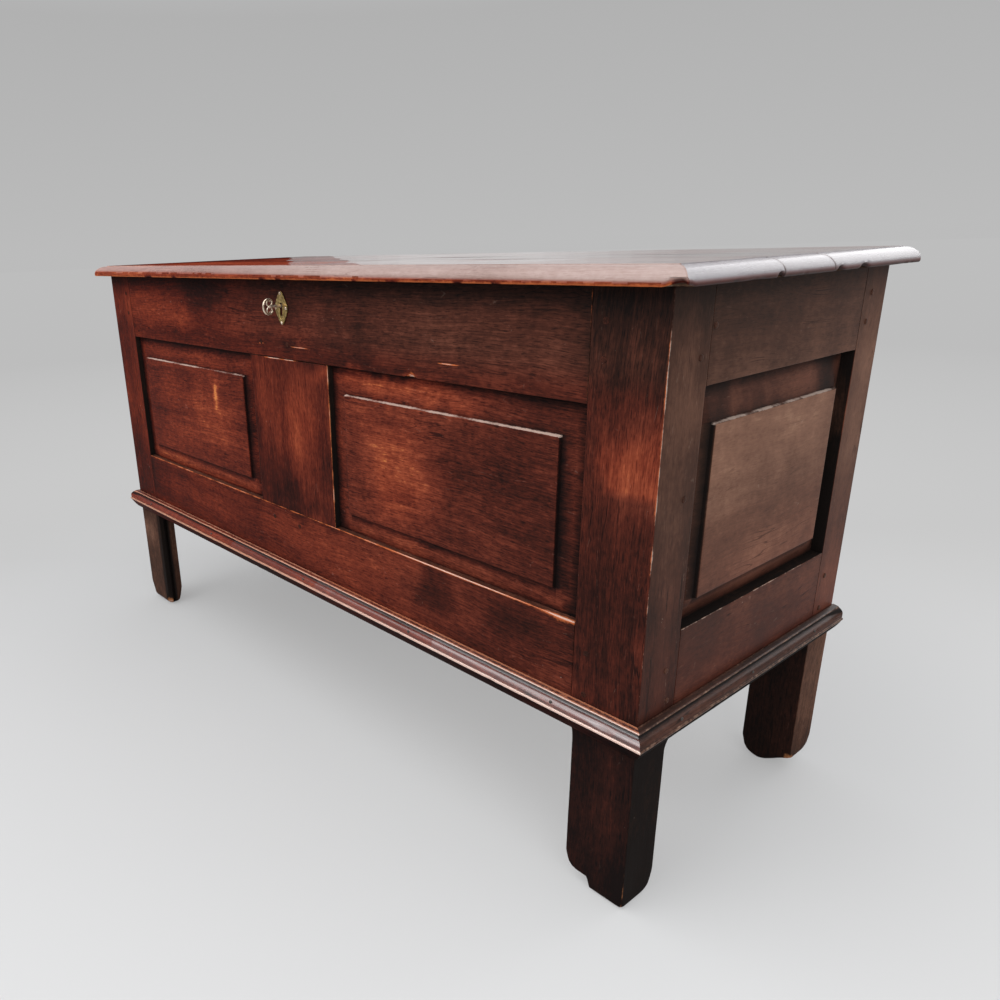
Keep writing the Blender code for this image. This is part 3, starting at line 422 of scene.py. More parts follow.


# Painted patches of sunlight and shadow on the front, as x, z, half width, half height and strength
LIGHT_AND_SHADOW_PATCHES = (
    (-0.235, 0.640, 0.080, 0.030, -0.14),
    (-0.260, 0.590, 0.130, 0.025, 0.06),
    (-0.221, 0.474, 0.008, 0.028, 0.42),
    (-0.235, 0.466, 0.06, 0.060, 0.12),
    (-0.290, 0.450, 0.12, 0.080, 0.08),
    (-0.430, 0.500, 0.08, 0.050, 0.06),
    (-0.112, 0.440, 0.016, 0.120, -0.12),
    (-0.36, 0.275, 0.16, 0.035, 0.09),
    (0.000, 0.470, 0.090, 0.060, 0.15),
    (0.020, 0.455, 0.050, 0.080, 0.10),
    (0.065, 0.410, 0.020, 0.060, 0.06),
    (-0.06, 0.400, 0.040, 0.090, -0.06),
    (0.000, 0.350, 0.090, 0.022, -0.14),
    (0.238, 0.425, 0.070, 0.085, 0.26),
    (0.210, 0.430, 0.022, 0.050, 0.05),
    (0.215, 0.541, 0.15, 0.018, 0.36),
    (0.160, 0.490, 0.06, 0.030, 0.06),
    (0.440, 0.440, 0.06, 0.100, -0.05),
    (0.555, 0.620, 0.060, 0.070, -0.24),
    (0.555, 0.350, 0.060, 0.100, -0.20),
    (0.560, 0.232, 0.060, 0.035, -0.12),
    (0.540, 0.245, 0.030, 0.020, 0.14),
    (0.590, 0.260, 0.014, 0.050, -0.14),
    (0.130, 0.280, 0.17, 0.045, 0.14),
    (0.287, 0.296, 0.045, 0.026, -0.30),
    (0.450, 0.285, 0.060, 0.040, -0.14),
    (0.150, 0.640, 0.140, 0.025, -0.06),
    (0.170, 0.566, 0.150, 0.012, -0.14),
    (0.440, 0.610, 0.12, 0.040, 0.01),
    (0.020, 0.590, 0.050, 0.018, 0.12),
    (-0.570, 0.450, 0.018, 0.060, 0.08),
    (-0.560, 0.300, 0.050, 0.070, -0.11),
    (-0.490, 0.275, 0.060, 0.045, -0.10),
)
# Strength of the painted light on the right stile and on the left end of the top rail
STILE_PAINTED_LIGHT = 0.27
TOP_RAIL_PAINTED_LIGHT = 0.12


def painted_front_light(points):
    """Painted patches of light and shadow on the front, with uneven borders."""
    x, z = points[:, 0], points[:, 2]
    shift = (field(points, 22.0, 5.0) - 0.5) * 0.045
    fine = (field(points, 70.0, 9.0) - 0.5) * 0.02
    glow = np.zeros(len(points))
    for middle_x, middle_z, wide, high, strength in LIGHT_AND_SHADOW_PATCHES:
        distance = np.hypot((x + shift - middle_x) / wide, (z - shift + fine - middle_z) / high)
        glow += strength * np.clip(1.45 - distance, 0, 1) ** 1.2
    # The right stile gets painted light from above its middle down to a slanting edge
    rise = smooth(z - shift, 0.585, 0.500)
    slant = 0.8 * np.clip(0.556 - x, 0, 1)
    cut = smooth(z + 1.2 * fine, 0.468 + slant, 0.478 + slant)
    glow += STILE_PAINTED_LIGHT * rise * cut * smooth(x, 0.522, 0.540)
    # The left end of the top rail gets painted light up to a straight edge
    reach = smooth(x + fine, -0.285, -0.300) * smooth(z - shift, 0.570, 0.600)
    glow += TOP_RAIL_PAINTED_LIGHT * reach * smooth(z, 0.668, 0.630)
    return glow


def shade(points):
    """Painted shadow under the lid's overhang."""
    return smooth(points[:, 2], TOP - 0.045, TOP - 0.005) * 0.55


def paling_and_sheen(points, glow):
    """How far the front is from red to brown, partly a painted sky sheen: more to the right and along the
    top, less where painted light falls.
    """
    x, z = points[:, 0], points[:, 2]
    fade = np.interp(x, (-0.6, -0.1, 0.25, 0.6), (0.0, 0.06, 0.18, 0.26))
    fade = fade + smooth(z, 0.56, 0.60) * np.interp(x, (-0.25, 0.0, 0.3, 0.5), (0.0, 0.22, 0.40, 0.34))
    return fade * (1 - 0.8 * np.clip(3.0 * glow, 0, 1))


def greying_and_sheen(points):
    """The same for the sides, redder near the base; their grey brown is partly a painted sky sheen."""
    return np.interp(points[:, 2], (0.24, 0.34, 0.45), (0.45, 0.70, 0.96))


# Painted light and shade of the sides at each height, of their panels, and from the front to the back
SIDE_HEIGHTS = ((0.20, 0.30, 0.345, 0.56, 0.60, 0.66), (0.02, 0.02, -0.04, 0.14, 0.03, -0.06))
PANEL_HEIGHTS = ((0.33, 0.36, 0.40, 0.44, 0.48, 0.53), (0.08, 0.15, 0.18, 0.27, 0.36, 0.39))
SIDE_DEPTHS = ((-0.21, -0.15, 0.10, 0.17, 0.22), (-0.04, -0.01, 0.0, 0.08, 0.10))


def painted_side_light(points):
    corner = smooth(points[:, 2], 0.44, 0.32) * (points[:, 1] < POST_FRONT_IN)
    return np.interp(points[:, 2], *SIDE_HEIGHTS) + np.interp(points[:, 1], *SIDE_DEPTHS) - 0.12 * corner


# Wear of a post's arris at each height
CORNER_WEAR = ((0.0, 0.05, 0.20, 0.33, 0.46, 0.60, 0.66), (0.95, 0.5, 0.4, 0.5, 1.0, 0.9, 0.5))


def board_tone(points, normal, wear, grime_and_shade, share, look, front, recess, leg):
    """Tone of a board's points, then which of them face a side and which are matte and painted in shade."""
    polished = front & (normal[:, 1] < -0.3)
    flank = np.abs(normal[:, 0]) > 0.6
    # Painted light and shade: the front's patches, and the sides' lightness by height
    bright = painted_front_light(points) if front else np.zeros(len(points))
    lit = 0.5 + np.where(polished, bright, np.where(flank, painted_side_light(points), 0.0))
    # Painted shadow under the lid's overhang, weaker on the sides
    if front or look == "side":
        grime_and_shade = np.maximum(grime_and_shade, shade(points) * np.where(flank, 0.4, 1.0))
    fading_and_sheen = np.where(polished, paling_and_sheen(points, bright), greying_and_sheen(points))
    fading_and_sheen = np.where(normal[:, 1] > 0.5, 1.0, fading_and_sheen)
    # Faces turned into an opening are matte and painted in deep shade
    matte_and_shaded = np.zeros(len(points), bool)
    for side in recess:
        facing = normal[:, "xyz".index(side[0])] * (1 if side[1] == "+" else -1) > 0.8
        matte_and_shaded |= facing & (points[:, 2] > RAIL_UNDER)
    grime_and_shade = np.where(matte_and_shaded, 1.0, grime_and_shade)
    fading_and_sheen = np.where(matte_and_shaded, 1.0, fading_and_sheen)
    # Legs take their own grime and painted shade below the rails
    if leg:
        wear = wear * np.interp(points[:, 2], *CORNER_WEAR)
        below = smooth(points[:, 2], RAIL_UNDER + 0.01, RAIL_UNDER - 0.01)
        leg_grime_and_shade, leg_fading = leg(share[:, 0], share[:, 1], points[:, 2], normal)
        grime_and_shade = grime_and_shade + below * (leg_grime_and_shade - grime_and_shade)
        fading_and_sheen = fading_and_sheen + below * (leg_fading - fading_and_sheen)
        matte_and_shaded |= points[:, 2] < RAIL_UNDER + 0.001
    return (wear, lit, grime_and_shade, fading_and_sheen), flank, matte_and_shaded


def board(node, low, high, look, axis, seed, body="carcass", soft=SOFT, worn=None, butts=(), base=0.15,
          extra=None, dents=(), front=False, shape=None, step=STEP, recess=(), leg=None, tight=()):
    """A worn board in place of one frame node: rounded arrises, uneven faces, dents and its own tone."""
    low, high = np.array(low, float), np.array(high, float)
    spans = [lines_between(low[a], high[a], step, soft, (extra or {}).get(a, ())) for a in range(3)]
    points, quads = shell(*spans)
    wear, grime_and_shade = edge_tone(points, low, high, worn or {}, butts, base)
    wear = wear * (0.62 + 0.60 * smooth(field(points, 48.0, seed + 5.0), 0.32, 0.66))
    lows, highs, radius = low, high, soft * (0.6 + 0.8 * field(points, 14.0, seed))
    gaps = np.concatenate([points - low, high - points], 1)
    for side, bottom, upper in [(side, -1.0, 1.0) for side in butts] + list(tight):
        near = (gaps[:, SIDES[side]] < BUTT_REACH) & (points[:, 2] > bottom) & (points[:, 2] < upper)
        radius = np.where(near, TIGHT, radius)
    share = (points - low) / (high - low)
    if shape:
        points, lows, highs, radius = shape(points, low, high, radius)
    core = np.clip(points, lows + radius[:, None], highs - radius[:, None])
    out = points - core
    normal = out / np.maximum(np.linalg.norm(out, axis=1, keepdims=True), 1e-9)
    uneven = WAVE * (0.75 * field(points, 7.0, seed + 3.0) + 0.25 * field(points, 45.0, seed))
    placed = core + normal * (radius - uneven)[:, None]
    for place, size, depth in dents:
        near = tent(np.linalg.norm((points - np.array(place)) / np.array(size), axis=1), 1.0)
        placed -= normal * (depth * near ** 0.7)[:, None]
        wear = np.maximum(wear, np.minimum(1.6 * near, 1.15))
    tone, flank, matte_and_shaded = board_tone(points, normal, wear, grime_and_shade, share, look, front, recess, leg)
    also = [(wood("side", axis, seed), flank[quads].all(1))] if leg else []
    if matte_and_shaded.any():
        also.append((wood("leg", axis, seed), matte_and_shaded[quads].all(1)))
    slot = "inner_wood" if look == "inside" else "frame_wood"
    show(f"{node}_dressed", placed, quads, wood(look, axis, seed), slot, body, (node,), tone, 42.0, also)


# Corner posts: slimmer legs, a run-on groove in the left front one, and worn feet
SHOULDER = 0.020
LEFT_LEG_DEPTH = 0.032
LEG_GROOVE = (0.009, 0.016)
LEG_GROOVE_DEPTH = 0.008
RIGHT_LEG_CUTBACK = 0.004
FRONT_LEG_CUTBACK = 0.008
BACK_LEG_CUTBACK = 0.0025
BACK_LEG_SPREAD = 0.004
FOOT_ROUND = 0.007
LEFT_FOOT_ROUND = 0.013
SOLE_REACH = 0.05
FLARE = 0.010

# Width and depth of the soles
FRONT_RIGHT_SOLE = (0.079, 0.057)
FRONT_LEFT_SOLE = (0.078, LEFT_LEG_DEPTH)
BACK_SOLE = (0.065, 0.055)

# Grid lines of a post: shares of the shoulder, of the foot's round, and of the width and depth
SHOULDER_SHARES = (0.0, 0.02, 0.07, 0.15, 0.3, 0.45, 0.6, 0.8, 1.0)
FOOT_SHARES = (0.12, 0.3, 0.6, 1.0, 1.5, 2.2, 3.2, 4.4)
POST_SHARES = (0.03, 0.06, 0.12, 0.19, 0.26, 0.36, 0.40, 0.44, 0.64, 0.74, 0.81, 0.88, 0.94, 0.97)


def leg_shape(leg_low, leg_high, sole, groove, flare, foot_round):
    """Shape of a post whose leg is slimmer than the post, flares out under the rails and has a worn sole."""

    def shape(points, low, high, radius):
        points = points.copy()
        depth = np.clip((RAIL_UNDER - points[:, 2]) / SHOULDER, 0, 1)[:, None]
        below = np.sqrt(1 - (1 - depth) ** 2)
        lows, highs = every(low, points), every(high, points)
        lows[:, :2] += below * (np.array(leg_low) - low[:2])
        highs[:, :2] += below * (np.array(leg_high) - high[:2])
        under = (points[:, 2] < RAIL_UNDER - 0.0001)[:, None]
        highs[:, 1:2] += under * flare * (1 - depth) ** 2
        share = (points - low) / (high - low)
        points[:, :2] = (lows + share * (highs - lows))[:, :2]
        foot = np.clip(1.6 - points[:, 2] / (1.6 * foot_round), 0, 1)
        radius = radius + foot * (foot_round - radius)
        if groove:
            inside = (share[:, 0] > 0.999) & (below[:, 0] > 0.99)
            depth = points[:, 1] - FRONT
            inside &= (depth > LEG_GROOVE[0]) & (depth < LEG_GROOVE[1])
            highs[inside, 0] -= LEG_GROOVE_DEPTH
            points[inside, 0] -= LEG_GROOVE_DEPTH
        worn = sole(share[:, 0], share[:, 1]) * tent(points[:, 2], SOLE_REACH)
        points[:, 2] += worn
        lows[:, 2] += worn
        return points, lows, highs, radius

    return shape


def rounded(distance, radius):
    """Height of a worn round at a distance from an edge."""
    short = np.clip(radius - distance, 0, 0.96 * radius)
    return radius - np.sqrt(radius ** 2 - short ** 2)


def sole_front_right(u, v):
    """A corner broken off at the inner side, in two steps."""
    step = 0.013 * smooth(u, 0.44, 0.38) + rounded(u * FRONT_RIGHT_SOLE[0], 0.018)
    return step + rounded((1 - v) * FRONT_RIGHT_SOLE[1], 0.020)


def sole_front_left(u, v):
    return rounded(u * FRONT_LEFT_SOLE[0], 0.010) + rounded((1 - v) * FRONT_LEFT_SOLE[1], 0.005)


def sole_back_right(u, v):
    """Worn up towards its outer front corner, so that it stands on its inner side."""
    step = 0.018 * smooth(u, 0.35, 1.0) + rounded(u * BACK_SOLE[0], 0.024)
    return step + rounded((1 - v) * BACK_SOLE[1], 0.022)


def sole_back_left(u, v):
    return rounded(u * BACK_SOLE[0], 0.014) + rounded((1 - u) * BACK_SOLE[0], 0.010)


# Tone of each leg: grime with painted shade and how brown it is, from the place across the post, the height
# and the facing
def tone_front_left(u, v, z, normal):
    front = normal[:, 1] < -0.5
    groove = (v > 0.27) & (v < 0.51)
    # Painted shade in the groove and at the front of the side faces, lighter further back
    inner = np.where(groove, 1.0, np.where(v < 0.27, 0.75, -0.30))
    rubbed = 0.50 * np.exp(-((z - 0.158) / 0.024) ** 2) * smooth(u, 0.75, 0.45)
    return np.where(front, 0.04 - rubbed + 0.86 * smooth(u, 0.78, 0.90), inner), np.ones(len(u))


def tone_front_right(u, v, z, normal):
    front = normal[:, 1] < -0.5
    heart = np.exp(-((u - 0.6) / 0.28) ** 2) * smooth(z, 0.03, 0.12)
    return np.where(front, 0.86 - 0.34 * heart, 0.80), np.where(front, 0.30, 0.95)


def tone_back_right(u, v, z, normal):
    side = normal[:, 0] > 0.5
    # Painted shade on the front face; the side face darker towards the bottom
    front_painted_shade = 0.74 - 0.20 * smooth(u, 0.6, 0.9)
    return np.where(side, -0.08 + 0.55 * smooth(z, 0.15, 0.0), front_painted_shade), np.where(side, 1.0, 0.6)


def tone_back_left(u, v, z, normal):
    return np.full(len(u), 0.6), np.full(len(u), 0.9)


def post(node, leg_low, leg_high, sole, leg, seed, worn, rails, groove=(), dents=(), flare=0.0,
         foot_round=FOOT_ROUND):
    """Corner post; rails tells which face's rails butt against each of its inner sides."""
    low, high = BOX[node]
    levels = [RAIL_UNDER - SHOULDER * share for share in SHOULDER_SHARES]
    lines = {2: levels + [FOOT_ROUND * share for share in FOOT_SHARES]}
    for axis in (0, 1):
        lines[axis] = [low[axis] + (high[axis] - low[axis]) * share for share in POST_SHARES]
    lines[1] += groove
    tight = []
    for side, face in rails.items():
        for level in ("top", "bottom"):
            rail_low, rail_high = BOX[f"{face}_{level}_rail"]
            tight.append((side, rail_low[2] - 0.001, rail_high[2] + 0.001))
    shape = leg_shape(leg_low, leg_high, sole, bool(groove), flare, foot_round)
    board(node, low, high, "frame", 2, seed, worn=worn, base=0.2, extra=lines, dents=dents, front=True,
          shape=shape, recess=tuple(rails), leg=leg, tight=tight)


groove_scale = (POST_FRONT_IN - FRONT) / LEFT_LEG_DEPTH
groove_lines = [FRONT + groove_scale * edge for edge in beside(LEG_GROOVE)]
post("front_left_post", (LEFT, FRONT), (POST_LEFT_IN, FRONT + LEFT_LEG_DEPTH), sole_front_left,
     tone_front_left, 1, {"x-y-": 0.5, "x+y-": 0.25}, {"x+": "front", "y+": "left"}, groove_lines,
     [((POST_LEFT_IN - 0.004, FRONT + 0.004, 0.006), (0.014, 0.014, 0.016), 0.0)], foot_round=LEFT_FOOT_ROUND)
post("front_right_post", (POST_RIGHT_IN + RIGHT_LEG_CUTBACK, FRONT),
     (RIGHT, POST_FRONT_IN - FRONT_LEG_CUTBACK),
     sole_front_right, tone_front_right, 2, {"x+y-": 0.80, "x-y-": 0.12}, {"x-": "front", "y+": "right"},
     dents=[((0.562, FRONT, 0.455), (0.004, 0.004, 0.004), 0.001)], flare=FLARE)
post("back_left_post", (LEFT, POST_BACK_IN + BACK_LEG_CUTBACK), (-BACK_POST_IN, BACK), sole_back_left,
     tone_back_left, 3, {"x-y+": 0.6}, {"y-": "left"})
post("back_right_post", (BACK_POST_IN - BACK_LEG_SPREAD, POST_BACK_IN + BACK_LEG_CUTBACK), (RIGHT, BACK),
     sole_back_right, tone_back_right, 4, {"x+y+": 0.6}, {"y-": "right"},
     dents=[((RIGHT - 0.003, POST_BACK_IN + 0.005, 0.020), (0.012, 0.012, 0.016), 0.0)])

# Rails and muntins; dents are given as place, size and depth
ENDS_X = ("x-", "x+")
ENDS_Z = ("z-", "z+")
front_x = (POST_LEFT_IN + GAP, POST_RIGHT_IN - GAP)
top_low = BOX["front_top_rail"][0][2]
bottom_high = BOX["front_bottom_rail"][1][2]
muntin_x = (BOX["front_muntin"][0][0], BOX["front_muntin"][1][0])
CHIP_LINES = [*np.arange(0.245, 0.285, 0.003), 0.004, 0.060]
SCRATCH_LINES = (0.5735, 0.5742, 0.5748, 0.5755, 0.5763, 0.5769, 0.5776, 0.5783, 0.5790)
board("front_top_rail", (front_x[0], FRONT, top_low), (front_x[1], FRONT_IN, TOP), "frame", 0, 5,
      worn={"y-z-": 0.15, "x+y-": 0.5}, butts=ENDS_X, front=True, recess=("z-",),
      extra={0: CHIP_LINES, 2: SCRATCH_LINES},
      dents=(((0.263, FRONT, top_low), (0.011, 0.012, 0.007), 0.004),
             ((0.326, FRONT, 0.5776), (0.026, 0.004, 0.0013), 0.0003),
             ((0.031, FRONT, 0.5748), (0.034, 0.004, 0.0011), 0.0003),
             ((-0.069, FRONT, 0.5749), (0.009, 0.004, 0.0013), 0.0003)))
board("front_bottom_rail", (front_x[0], FRONT, RAIL_UNDER), (front_x[1], FRONT_IN, bottom_high), "frame", 0,
      6, worn={"y-z+": 0.86}, butts=ENDS_X, front=True,
      dents=(((0.33, FRONT, bottom_high), (0.26, 0.0030, 0.0030), 0.0),
             ((0.50, FRONT, bottom_high), (0.05, 0.0055, 0.0055), 0.0004)))
board("front_muntin", (muntin_x[0], FRONT, bottom_high + GAP), (muntin_x[1], FRONT_IN, top_low - GAP),
      "frame", 2, 7, worn={"x+y-": 0.95, "x-y-": 0.15, "y-z+": 0.3, "y-z-": 0.2}, butts=ENDS_Z, front=True,
      recess=ENDS_X,
      dents=(((-0.040, FRONT, top_low), (0.040, 0.01, 0.0036), 0.0010),
             ((0.002, FRONT, top_low), (0.034, 0.01, 0.0030), 0.0008)))
for side, x_low, x_high, out, seeds in (("left", LEFT, -SIDE_IN, "x-", (10, 11)),
                                        ("right", SIDE_IN, RIGHT, "x+", (8, 9))):
    for level, inner, seed in zip(("top", "bottom"), ENDS_Z, seeds):
        low, high = BOX[f"{side}_{level}_rail"]
        board(f"{side}_{level}_rail", (x_low, POST_FRONT_IN + GAP, low[2]),
              (x_high, POST_BACK_IN - GAP, high[2]), "side", 1, seed,
              worn={out + "z+": 0.6, out + "z-": 0.2}, butts=("y-", "y+"), recess=(inner,))
back_x = (-BACK_POST_IN + GAP, BACK_POST_IN - GAP)
back_low = BOX["back_top_rail"][0][2]
back_high = BOX["back_bottom_rail"][1][2]
back_muntin_x = (BOX["back_muntin"][0][0], BOX["back_muntin"][1][0])
board("back_bottom_rail", (back_x[0], BACK_IN, RAIL_UNDER), (back_x[1], BACK, back_high), "inside", 0, 13,
      worn={"y+z+": 0.5}, butts=ENDS_X)
board("back_muntin", (back_muntin_x[0], BACK_IN, back_high + GAP), (back_muntin_x[1], BACK, back_low - GAP),
      "inside", 2, 14, butts=ENDS_Z)

# Back top rail, notched for the hinge straps
NOTCH_DEPTH = 0.0034
notches = [(BOX[f"hinge_strap_{side}"][0][0] - GAP, BOX[f"hinge_strap_{side}"][1][0] + GAP)
           for side in ("left", "right")]


def notched(points, low, high, radius):
    """Lowers the top edge under each strap."""
    points = points.copy()
    highs = every(high, points)
    for near, far in notches:
        inside = (points[:, 0] > near) & (points[:, 0] < far)
        points[inside & (points[:, 2] > high[2] - HAIR), 2] -= NOTCH_DEPTH
        highs[inside, 2] -= NOTCH_DEPTH
    return np.minimum(points, highs), every(low, points), highs, radius


board("back_top_rail", (back_x[0], BACK_IN, back_low), (back_x[1], BACK, TOP), "inside", 0, 12,
      worn={"y+z-": 0.4}, butts=ENDS_X, extra={0: beside([*notches[0], *notches[1]])}, shape=notched)

# Panels: margins round the raised field, its setback and the depth at the frame, then the step at its edge,
# the tongue in the groove, the thickness, the unevenness and the softened arris of the field
FRONT_FIELD = {"margin": 0.033, "top": 0.037, "bottom": 0.029, "setback": 0.001, "lip": 0.0093}
SIDE_FIELD = {"margin": 0.029, "top": 0.040, "bottom": 0.026, "setback": 0.002, "lip": 0.0143}
FIELD_STEP = 0.0045
STEP_RUN = 0.0012
TONGUE = 0.0072
PANEL_THICK = 0.0064
PANEL_WAVE = 0.0006
ARRIS_DROP = 0.0003
ARRIS_RUN = 0.0015
RIM_LINE = 0.004
NEAR_EDGE = (-0.004, -0.0016, -0.0008, 0.0, 0.5 * STEP_RUN, STEP_RUN, STEP_RUN + 0.0008, 0.005)

# Painted shade on a panel: its bands along the frame and beside, under and round the field, and where they
# start
RIM_BANDS = (0.009, 0.009, 0.006, 0.012)
FLANK_BAND = 0.009
UNDER_BAND = 0.010
CORNER_BAND = 0.006
PAST_EDGE = 0.0005
BAND_START = 0.0008


def panel_lines(span, field_span):
    """Grid lines of a panel along one way: its tongues, its rims and both edges of its field."""
    found = [span[0] - TONGUE, span[0], span[0] + RIM_LINE, span[1] - RIM_LINE, span[1], span[1] + TONGUE]
    found += [field_span[0] - step for step in NEAR_EDGE] + [field_span[1] + step for step in NEAR_EDGE]
    return lines_between(found[0], found[5], STEP, SOFT, found)


def fielded_panel(node, face, along, up, sizes, seed, look):
    """Panel with a raised field: a grid whose front is set back by the panel's section."""
    field_u = (along[0] + sizes["margin"], along[1] - sizes["margin"])
    field_v = (up[0] + sizes["bottom"], up[1] - sizes["top"])
    back = sizes["lip"] + PANEL_THICK
    grid, quads = shell(panel_lines(along, field_u), np.array([0.0, back]), panel_lines(up, field_v))
    u, w, v = grid.T
    out_u = np.maximum(field_u[0] - u, u - field_u[1])
    out_v = np.maximum(field_v[0] - v, v - field_v[1])
    upper = v > sum(field_v) / 2
    margin_v = np.where(upper, sizes["top"], sizes["bottom"])
    run = np.maximum(out_u, out_v)
    share_u = (out_u - STEP_RUN) / (sizes["margin"] - STEP_RUN)
    share = np.clip(np.maximum(share_u, (out_v - STEP_RUN) / (margin_v - STEP_RUN)), 0, 1)
    foot = sizes["setback"] + FIELD_STEP
    step = sizes["setback"] + FIELD_STEP * np.clip(run / STEP_RUN, 0, 1)
    depth = np.where(run < STEP_RUN, step, foot + (sizes["lip"] - foot) * share)
    depth = depth + ARRIS_DROP * np.clip(1 + run / ARRIS_RUN, 0, 1) * (run <= 0)
    flat = np.stack([u, v, np.zeros(len(u))], 1)
    uneven = PANEL_WAVE * (field(flat, 6.0, seed) + 0.25 * field(flat, 40.0, seed + 2.0)) * (share < 1)
    is_front = w < back / 2
    w = np.where(is_front, depth + uneven, w)
    places = {"front": (u, FRONT + w, v), "right": (RIGHT - w, u, v), "left": (LEFT + w, u, v)}
    points = np.stack(places[face], 1)

    border = tent(np.abs(run - 0.0004), 0.0017)
    # Wear on the field's upper edges, with a painted highlight where light falls on the top arris
    rubbed = 1.0 * (out_v > -0.0013) * upper
    rubbed = rubbed * (0.50 + 0.42 * smooth(field(flat, 34.0, seed + 6.0), 0.3, 0.6))
    wear = np.where(is_front, border * (0.10 + rubbed), 0)
    gaps = (u - along[0], along[1] - u, v - up[0], up[1] - v)
    # Painted shade in the recess along the frame, beside, under and round the field
    rim = tent(np.minimum.reduce([gap / band for gap, band in zip(gaps, RIM_BANDS)]), 1.0) * 0.9
    outside = u - field_u[1] if face == "front" else field_u[0] - u
    flank = tent(outside - BAND_START, FLANK_BAND) ** 0.8 * (outside > PAST_EDGE) * (out_v < 0.002)
    corner = tent(np.abs(run - STEP_RUN), CORNER_BAND) * (run > BAND_START)
    drop = field_v[0] - v
    under = 0.95 * tent(drop - BAND_START, UNDER_BAND) * (drop > PAST_EDGE) * (out_u < 0.002)
    grime_and_shade = np.maximum.reduce((rim, flank, 0.35 * corner, under))
    # The margin under the field gets painted light, and the front its painted patches of light and shadow
    below = 1.0 * (drop > PAST_EDGE) * (out_u < 0.012)
    if face == "front":
        bright = painted_front_light(points)
        fading_and_sheen = paling_and_sheen(points, bright)
        glow = 0.5 + bright + below * (0.12 + 0.14 * smooth(drop, 0.008, 0.018))
    else:
        above = v > field_v[1]
        fading_and_sheen = greying_and_sheen(points) * np.where(above, 0.75, 1.0)
        stains = 0.5 * (field(points * np.array([1.0, 1.0, 0.25]), 40.0, seed) - 0.5) * above
        # Painted light on the side field by height
        glow = 0.5 + np.where(run < 0, np.interp(v, *PANEL_HEIGHTS), 0.10 * below + stains)
    outward = quads[:, ::-1] if face == "left" else quads
    material = wood(look, 0 if face == "front" else 1, seed)
    show(f"{node}_dressed", points, outward, material, "panel_wood", "carcass", (node,),
         (wear, glow, grime_and_shade, fading_and_sheen), 30.0)


front_up = (bottom_high, top_low)
fielded_panel("front_left_panel", "front", (POST_LEFT_IN, muntin_x[0]), front_up, FRONT_FIELD, 15, "panel")
fielded_panel("front_right_panel", "front", (muntin_x[1], POST_RIGHT_IN), front_up, FRONT_FIELD, 16, "panel")
for side, seed in (("left", 17), ("right", 18)):
    up = (BOX[f"{side}_bottom_rail"][1][2], BOX[f"{side}_top_rail"][0][2])
    fielded_panel(f"{side}_panel", side, (POST_FRONT_IN, POST_BACK_IN), up, SIDE_FIELD, seed, "side")
for node, seed in (("back_left_panel", 19), ("back_right_panel", 20)):
    board(node, *BOX[node], "inside", 0, seed, butts=(*ENDS_X, *ENDS_Z), base=0.0)

# Floor boards, notched round the posts
FLOOR_STEP = 0.02


def round_posts(points, low, high, radius):
    """Draws the board's corners back from the posts."""
    lows, highs = every(low, points), every(high, points)
    at_post = (points[:, 0] < front_x[0]) | (points[:, 0] > front_x[1])
    lows[at_post, 1] = np.maximum(lows[at_post, 1], POST_FRONT_IN + GAP)
    at_post = (points[:, 0] < back_x[0]) | (points[:, 0] > back_x[1])
    highs[at_post, 1] = np.minimum(highs[at_post, 1], POST_BACK_IN - GAP)
    return np.clip(points, lows, highs), lows, highs, radius


for i in range(1, 5):
    node = f"floor_board_{i}"
    board(node, *BOX[node], "inside", 1, 20 + i, butts=ENDS_X, extra={0: beside([*front_x, *back_x])},
          shape=round_posts, step=FLOOR_STEP)


# Base mouldings: section points as reach, height below the top edge, wear, and grime with painted
# shade in the hollow and under the tail
def arc(middle, sizes, start, end, count, wear, grime_and_shade):
    """Points of an elliptic arc, with angles in degrees from the outward direction."""
    angles = np.radians(np.linspace(start, end, count))
    return [(middle[0] + sizes[0] * math.cos(angle), middle[1] + sizes[1] * math.sin(angle), wear, grime_and_shade)
            for angle in angles]


SECTION = [(0.0, 0.0, 0.3, 0.5), (0.0008, 0.0004, 0.9, 0.1), (0.0024, 0.0003, 0.85, 0.1),
           (0.0036, 0.0, 0.45, 0.35), (0.0060, -0.0004, 0.45, 0.30), (0.0074, -0.0007, 0.8, 0.1),
           (0.0082, -0.0012, 1.1, 0.0), (0.0084, -0.0019, 1.1, 0.0), (0.0080, -0.0026, 0.6, 0.3),
           (0.0070, -0.0032, 0.1, 0.8), (0.0064, -0.0042, 0.0, 1.0), (0.0063, -0.0055, 0.0, 1.0),
           (0.0068, -0.0067, 0.0, 0.9), (0.0076, -0.0073, 0.05, 0.35), (0.0089, -0.0077, 0.10, 0.1),
           (0.0105, -0.0084, 0.10, 0.0), (0.0119, -0.0095, 0.10, 0.0), (0.0130, -0.0109, 0.12, 0.0),
           (0.0138, -0.0124, 0.20, 0.0), (0.0143, -0.0138, 0.40, 0.0), (0.0145, -0.0146, 0.30, 0.3),
           (0.0140, -0.0151, 0.0, 1.0)]
SECTION += arc((0.0142, -0.0169), (0.0018, 0.0018), 110, -70, 8, 1.05, 0.05)
TAIL = len(SECTION)
SECTION += [(0.0144, -0.0190, 0.0, 0.95), (0.0140, -0.0204, 0.0, 0.95), (0.0126, -0.0230, 0.0, 0.95),
            (0.0108, -0.0262, 0.0, 0.95), (0.0086, -0.0296, 0.0, 0.95), (0.0056, -0.0337, 0.0, 0.95),
            (0.0050, -0.0341, 0.0, 0.95), (0.0, -0.0341, 0.0, 0.95)]
SECTION = np.array(SECTION)
MOULDING_TOP = BOX["moulding_front"][1][2]
MOULDING_STEP = 0.009
MOULDING_WAVE = 0.0004
KNOCK = 0.0024

